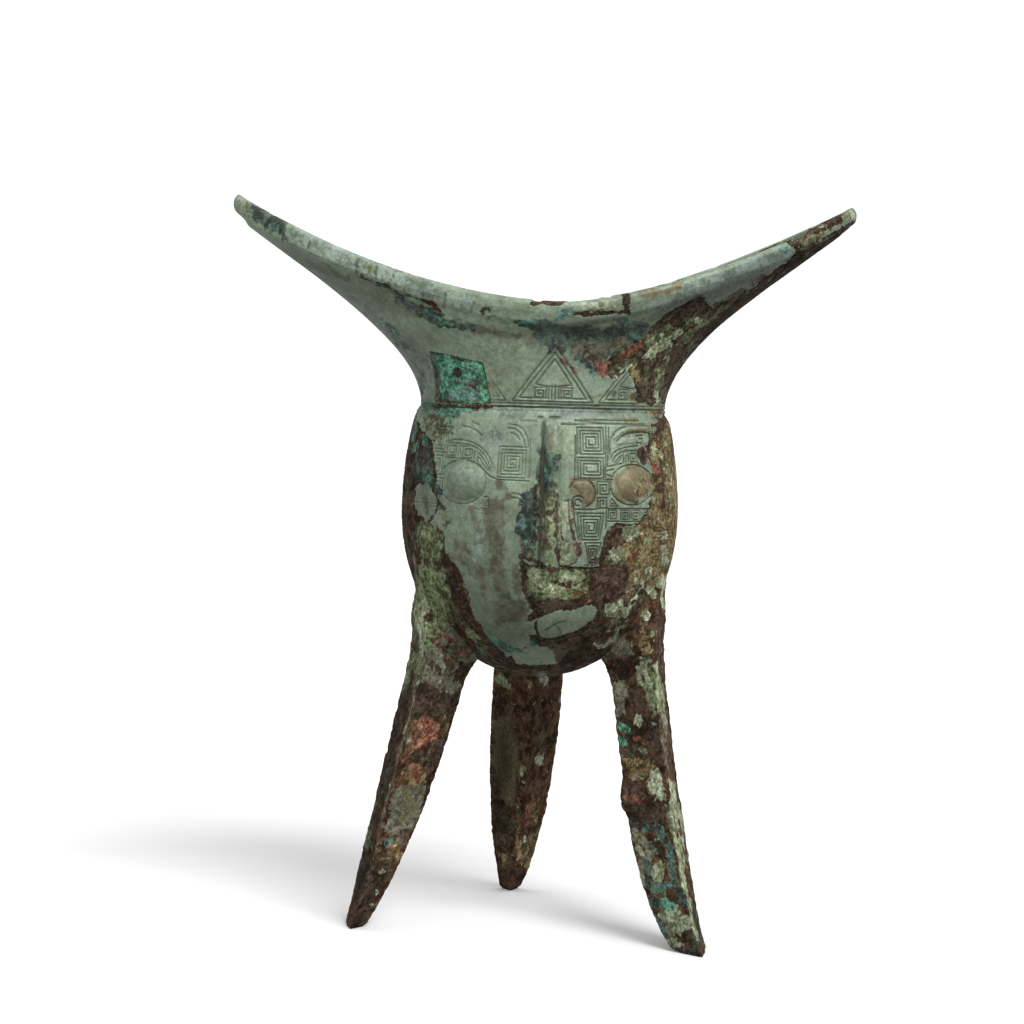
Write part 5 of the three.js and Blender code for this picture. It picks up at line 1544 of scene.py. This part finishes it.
legForm = {
    "rootHeight": 77.6, "tailShare": 0.3,
    "around": 132, "along": 250, "edgeRound": 2, "fillet": 3.6, "filletReach": 9.5, "crust": 0.15, "sunk": 0.7,
}
legPlans = {
    # which way the outer face looks in degrees, how late it tapers, how straight it is, that face's middle, its
    # widths and the ridge's depths at root and foot; the tail's height, how deep it is sunk there and how far drawn
    # in below; a knob of crust as (x, y) in pixels and its height
    "leg_front_left": {"facing": 192, "taper": 2.35, "bow": 0.93, "root": (-35.4, -9.8), "foot": (-53.7, -10),
                       "width": (21, 7), "depth": (15.8, 5.5), "tail": (106, 0.9, 1.2)},
    "leg_front_right": {"facing": 345, "taper": 5.5, "bow": 0.7, "root": (35.6, -13), "foot": (48.3, -39),
                        "width": (21, 10.2), "depth": (15, 9.2), "tail": (112, 0.3, 1.2),
                        "knob": ((622, 800), 1.6)},
    "leg_back": {"facing": 90, "taper": 2.9, "bow": 0.7, "root": (1.3, 37.4), "foot": (-2, 51),
                 "width": (22.4, 6.5), "depth": (15.8, 5.5), "tail": (106, 0.9, 0.8)},
}


def bowlGap(points):
    # Signed distance to the bowl's outer face, close enough near it, and the way out from there
    reach = np.array([bowlForm["radius"], bowlForm["radius"], bowlForm["widestHeight"] - bowlForm["baseHeight"]])
    local = (points - np.array([0, 0, bowlForm["widestHeight"]])) / reach
    level = np.linalg.norm(local, axis=1)
    slope = local / reach
    steep = np.maximum(np.linalg.norm(slope, axis=1), tiny)
    return (level - 1) * level / steep, slope / steep[:, None]


def legPiece(node, seed):
    form, plan = legForm, legPlans[node]
    count = form["around"]
    corners = np.array([(0, -0.5), (0, 0.5), (-1, 0), (0, -0.5)])
    third = count // 3
    spots = np.concatenate([
        blend(corners[side], corners[side + 1], (np.arange(third) / third)[:, None]) for side in range(3)])
    spots = smoothLoop(spots, form["edgeRound"])
    facing = math.radians(plan["facing"])
    outward = np.array([math.cos(facing), math.sin(facing)])
    sideways = np.array([-math.sin(facing), math.cos(facing)])
    root, foot = np.array(plan["root"]), np.array(plan["foot"])
    rows = []

    def ring(width, depth, centre, height, scale=1.0):
        middle = np.array([-1 / 3, 0])
        local = middle + (spots - middle) * scale
        flat = centre + local[:, :1] * depth * outward + local[:, 1:] * width * sideways
        rows.append(np.column_stack([flat, np.full(count, height)]))

    for share in np.linspace(0, 1, form["along"]):
        taper = 1 - (1 - share) ** plan["taper"]
        centre = blend(foot, root, share ** plan["bow"])
        height = share * form["rootHeight"]
        width, depth = [blend(atFoot, atRoot, taper) for atRoot, atFoot in (plan["width"], plan["depth"])]
        ring(width, depth, centre, height, 1 - 0.25 * (1 - ease(0, 1.6, height)) ** 2)
    rootTurn = math.atan2(root[1], root[0])
    tailHeight, sink, waist = plan["tail"]
    flush = float(bowlRadius(np.array(tailHeight))) - sink
    for share in np.linspace(0, 1, 80)[1:]:
        height = blend(form["rootHeight"], tailHeight, share)
        reach = blend(np.hypot(*root), flush, share) - waist * math.sin(math.pi * share)
        ring(plan["width"][0] * blend(1, form["tailShare"], share ** 1.5), plan["depth"][0],
             reach * np.array([math.cos(rootTurn), math.sin(rootTurn)]), height)
    points = closeEnds(rows, (0.7, 0.3, 0.0))
    # the shank runs into the root in one curve
    level = points[:, :, 2].mean(1)[1:-1, None, None]
    share = 0.5 * ease(form["rootHeight"] - 16, form["rootHeight"] - 4, level)
    share = share * (1 - ease(form["rootHeight"] + 10, form["rootHeight"] + 22, level))
    for _ in range(160):
        between = (points[:-2] + points[2:]) / 2
        points[1:-1, :, :2] = blend(points[1:-1], between, share)[:, :, :2]
    normals = tubeNormals(points, 100, np.append(outward, 0))
    normals[:3], normals[-3:] = (0, 0, -1), (0, 0, 1)
    flat, flatNormals = points.reshape(-1, 3), normals.reshape(-1, 3)
    gap, _ = bowlGap(flat)
    flare = np.clip(1 - gap / form["filletReach"], 0, 1) ** 2 * (gap > -3)
    flare *= 1 - ease(form["rootHeight"] + 10, form["rootHeight"] + 22, flat[:, 2])
    masks = patina(flat, flatNormals, seed)
    low = ease(0.5, 4, flat[:, 2])
    lift = form["fillet"] * flare
    lift += form["crust"] * low * (roughNoise(flat, 8, 2, seed + 1) + 1.4 * roughNoise(flat, 1.6, 3, seed + 2))
    lift += 0.12 * masks["pale"] - 0.2 * ease(0.3, 0.8, roughNoise(flat, 2.2, 3, seed + 3)) * (1 - masks["pale"]) * low
    if "knob" in plan:
        (knobAcross, knobDown), rise = plan["knob"]
        across, down = photoSpot(flat)
        lift += rise * (1 - ease(2, 16, np.hypot(across - knobAcross, (down - knobDown) * 0.7)))
    flat = flat + flatNormals * lift[:, None]
    gap, away = bowlGap(flat)
    flat -= away * np.minimum(gap + form["sunk"], 0)[:, None]
    flat[:, 2] = np.maximum(flat[:, 2], 0)
    name = node.replace("leg", "blade_leg")
    patinaPiece(name, flat.reshape(points.shape), masks, "brown_bronze", node, wrapColumns=True)


legPiece("leg_front_left", 910)
legPiece("leg_front_right", 930)
legPiece("leg_back", 950)


# Handle: a strap loop at the back, under an animal head

handle = {
    "width": 9.0, "thickness": 4.6, "corner": 1.2, "sway": (0.3, 5), "pits": (0.3, 2.4),
    "groove": (2.4, 0.5, 0.35),  # from the middle, half width, depth
    "middle": (44, 123),
    "path": [(35, 138.6), (47, 141.1), (58.5, 135.6), (62, 123.6), (57.5, 112.1), (47, 107.1), (33, 108.1)],
}


def curveThrough(spots, count):
    spots = np.array(spots, float)
    ends = np.vstack([2 * spots[0] - spots[1], spots, 2 * spots[-1] - spots[-2]])
    line = []
    for k in range(1, len(ends) - 2):
        a, b, c, d = ends[k - 1:k + 3]
        for t in np.linspace(0, 1, 24, endpoint=False):
            line.append(0.5 * (2 * b + (c - a) * t + (2 * a - 5 * b + 4 * c - d) * t ** 2
                               + (3 * b - a - 3 * c + d) * t ** 3))
    line = np.array(line + [spots[-1]])
    length = np.concatenate([[0], np.cumsum(np.linalg.norm(np.diff(line, axis=0), axis=1))])
    where = np.linspace(0, length[-1], count)
    return np.stack([np.interp(where, length, line[:, k]) for k in range(line.shape[1])], 1)


def strapPiece():
    line = curveThrough(handle["path"], 170)
    along = np.gradient(line, axis=0)
    along /= np.linalg.norm(along, axis=1, keepdims=True)
    outward = np.stack([-along[:, 1], along[:, 0]], 1)
    if np.sum((line[80] - np.array(handle["middle"])) * outward[80]) < 0:
        outward = -outward
    halfThick = handle["thickness"] / 2
    section = roundedBar(handle["width"] / 2, -halfThick, halfThick, handle["corner"], 72)
    place, halfWidth, depth = handle["groove"]
    grooved = (np.abs(np.abs(section[:, 0]) - place) < halfWidth) & (section[:, 1] > halfThick - 0.2)
    section[:, 1] -= depth * grooved
    rows = [np.column_stack([section[:, 0], spot + section[:, 1:] * out]) for spot, out in zip(line, outward)]
    points = closeEnds(rows, (0.5, 0.0))
    normals = tubeNormals(points, 86, np.array([0, 1, 0]))
    normals[:2], normals[-2:] = (0, -1, 0), (0, -1, 0)
    flat, flatNormals = points.reshape(-1, 3), normals.reshape(-1, 3)
    masks = patina(flat, flatNormals, 970)
    flat = flat + flatNormals * wearLift(flat, 971, handle["sway"], handle["pits"])[:, None]
    patinaPiece("handle_strap", flat.reshape(points.shape), masks, "brown_bronze", "handle_loop", wrapColumns=True)


strapPiece()

cow = {
    "brow": ((8.3, 6.8, 6.3), (0, 47, 146.0)),
    "snout": ((5.0, 7.3, 4.2), (0, 54.5, 144.6)),
    "muzzle": ((4.2, 2.6, 3.4), (0, 60.0, 143.6)),
    "eye": (1.7, (4.9, 51.2, 147.6)),
    "ear": ((3.6, 1.4, 1.9), (9.2, 48.6, 145.2)),
    "hornRadius": (2.0, 0.9),
    "horn": [(4, 46, 149.0), (8.6, 46, 151.2), (11.6, 48, 149.0), (11.2, 50.4, 145.4)],
    "voxel": 0.42, "sway": (0.18, 4), "pits": (0.2, 1.8),
}


def addBall(size, place):
    bpy.ops.mesh.primitive_uv_sphere_add(segments=32, ring_count=20, radius=1)
    ball = bpy.context.object
    ball.scale = [s * mm for s in size]
    ball.location = (np.array(place) + axisPlace) * mm
    return ball


def headPiece():
    bpy.ops.object.select_all(action="DESELECT")
    balls = [addBall(*cow["brow"]), addBall(*cow["snout"]), addBall(*cow["muzzle"])]
    for side in (-1, 1):
        x, y, z = cow["eye"][1]
        balls.append(addBall((cow["eye"][0],) * 3, (side * x, y, z)))
        x, y, z = cow["ear"][1]
        balls.append(addBall(cow["ear"][0], (side * x, y, z)))
        horn = curveThrough([(side * x, y, z) for x, y, z in cow["horn"]], 26)
        for step, spot in enumerate(horn):
            radius = blend(*cow["hornRadius"], step / 25)
            balls.append(addBall((radius,) * 3, spot))
    bpy.ops.object.select_all(action="DESELECT")
    for ball in balls:
        ball.select_set(True)
    bpy.context.view_layer.objects.active = balls[0]
    bpy.ops.object.join()
    bpy.ops.object.transform_apply(location=True, rotation=True, scale=True)
    piece = bpy.context.object
    piece.name = piece.data.name = "cow_head"
    remesh = piece.modifiers.new("Remesh", "REMESH")
    remesh.mode = "VOXEL"
    remesh.voxel_size = cow["voxel"] * mm
    bpy.ops.object.modifier_apply(modifier="Remesh")
    smooth = piece.modifiers.new("Smooth", "SMOOTH")
    smooth.factor = 0.5
    smooth.iterations = 4
    bpy.ops.object.modifier_apply(modifier="Smooth")
    mesh = piece.data
    flat, normals = np.empty((2, len(mesh.vertices), 3))
    mesh.vertices.foreach_get("co", flat.ravel())
    mesh.vertices.foreach_get("normal", normals.ravel())
    flat = flat / mm - axisPlace
    masks = patina(flat, normals, 990)
    flat = flat + normals * wearLift(flat, 991, cow["sway"], cow["pits"])[:, None]
    mesh.vertices.foreach_set("co", ((flat + axisPlace) * mm).ravel())
    setFields(mesh, meshFields(masks))
    mesh.update()
    bpy.ops.object.shade_smooth_by_angle(angle=math.radians(60))
    finishPiece(piece, bronzes["brown_bronze"], "handle_head")
    print(f"handle_head: {len(flat)} points")


headPiece()


# Stage, lights and camera

stage = {"floor": (0.79, 0.79, 0.79), "floorBounce": (0.3, 0.3, 0.29), "size": 40, "backdrop": 1.1, "world": 0.3}


def seenByCamera(tree, shownShader, otherShader, output):
    # The backdrop is plain white to the eye, but sends back less light than white paper would
    ray = newNode(tree, "ShaderNodeLightPath")
    mix = newNode(tree, "ShaderNodeMixShader")
    tree.links.new(ray.outputs["Is Camera Ray"], mix.inputs["Fac"])
    tree.links.new(otherShader, mix.inputs[1])
    tree.links.new(shownShader, mix.inputs[2])
    tree.links.new(mix.outputs[0], output)


bpy.ops.object.select_all(action="DESELECT")
bpy.ops.mesh.primitive_plane_add(size=stage["size"], location=(0, 0, 0))
floor = bpy.context.object
floor.name = "floor"
floorMaterial = bpy.data.materials.new("pale_floor")
floorMaterial.use_nodes = True
tree = floorMaterial.node_tree
tree.nodes.remove(tree.nodes["Principled BSDF"])
paints = []
for colour in (stage["floor"], stage["floorBounce"]):
    paint = newNode(tree, "ShaderNodeBsdfDiffuse")
    paint.inputs["Color"].default_value = (*colour, 1)
    paints.append(paint.outputs[0])
seenByCamera(tree, *paints, tree.nodes["Material Output"].inputs["Surface"])
floor.data.materials.append(floorMaterial)

world = bpy.data.worlds.new("studio")
bpy.context.scene.world = world
world.use_nodes = True
tree = world.node_tree
shown, other = tree.nodes["Background"], newNode(tree, "ShaderNodeBackground")
for sky, strength in ((shown, stage["backdrop"]), (other, stage["world"])):
    sky.inputs["Color"].default_value = (1, 1, 1, 1)
    sky.inputs["Strength"].default_value = strength
seenByCamera(tree, shown.outputs[0], other.outputs[0], tree.nodes["World Output"].inputs["Surface"])

lights = {
    # where it comes from, how wide it is in degrees, strength
    "key": ((0.42, -0.62, 0.85), 30, 2.6),
    "overhead": ((-0.1, -0.25, 1.0), 110, 1.9),
    "left_fill": ((-0.85, -0.6, 0.4), 70, 0.5),
}
for name, (place, width, strength) in lights.items():
    bpy.ops.object.light_add(type="SUN", location=place)
    lamp = bpy.context.object
    lamp.name = name
    lamp.data.angle = math.radians(width)
    lamp.data.energy = strength
    away = np.array(place) / np.linalg.norm(place)
    side = np.cross([0, 1, 0], away)
    side /= np.linalg.norm(side)
    lamp.rotation_euler = Matrix(np.column_stack([side, np.cross(away, side), away]).tolist()).to_euler()

cameraData = bpy.data.cameras.new("photo_camera")
camera = bpy.data.objects.new("photo_camera", cameraData)
bpy.context.collection.objects.link(camera)
sensorWidth, photoWidth = 36, 1024  # millimetres, pixels
cameraData.sensor_width = sensorWidth
cameraData.lens = photoView["focal"] * sensorWidth / photoWidth
cameraData.clip_start = 0.05
camera.location = (photoView["stand"] + axisPlace) * mm
camera.rotation_euler = Matrix(np.column_stack([viewRight, viewUp, -viewAhead]).tolist()).to_euler()
bpy.context.scene.camera = camera
bpy.context.scene.view_settings.view_transform = "Standard"
print("stage, lights and camera set")
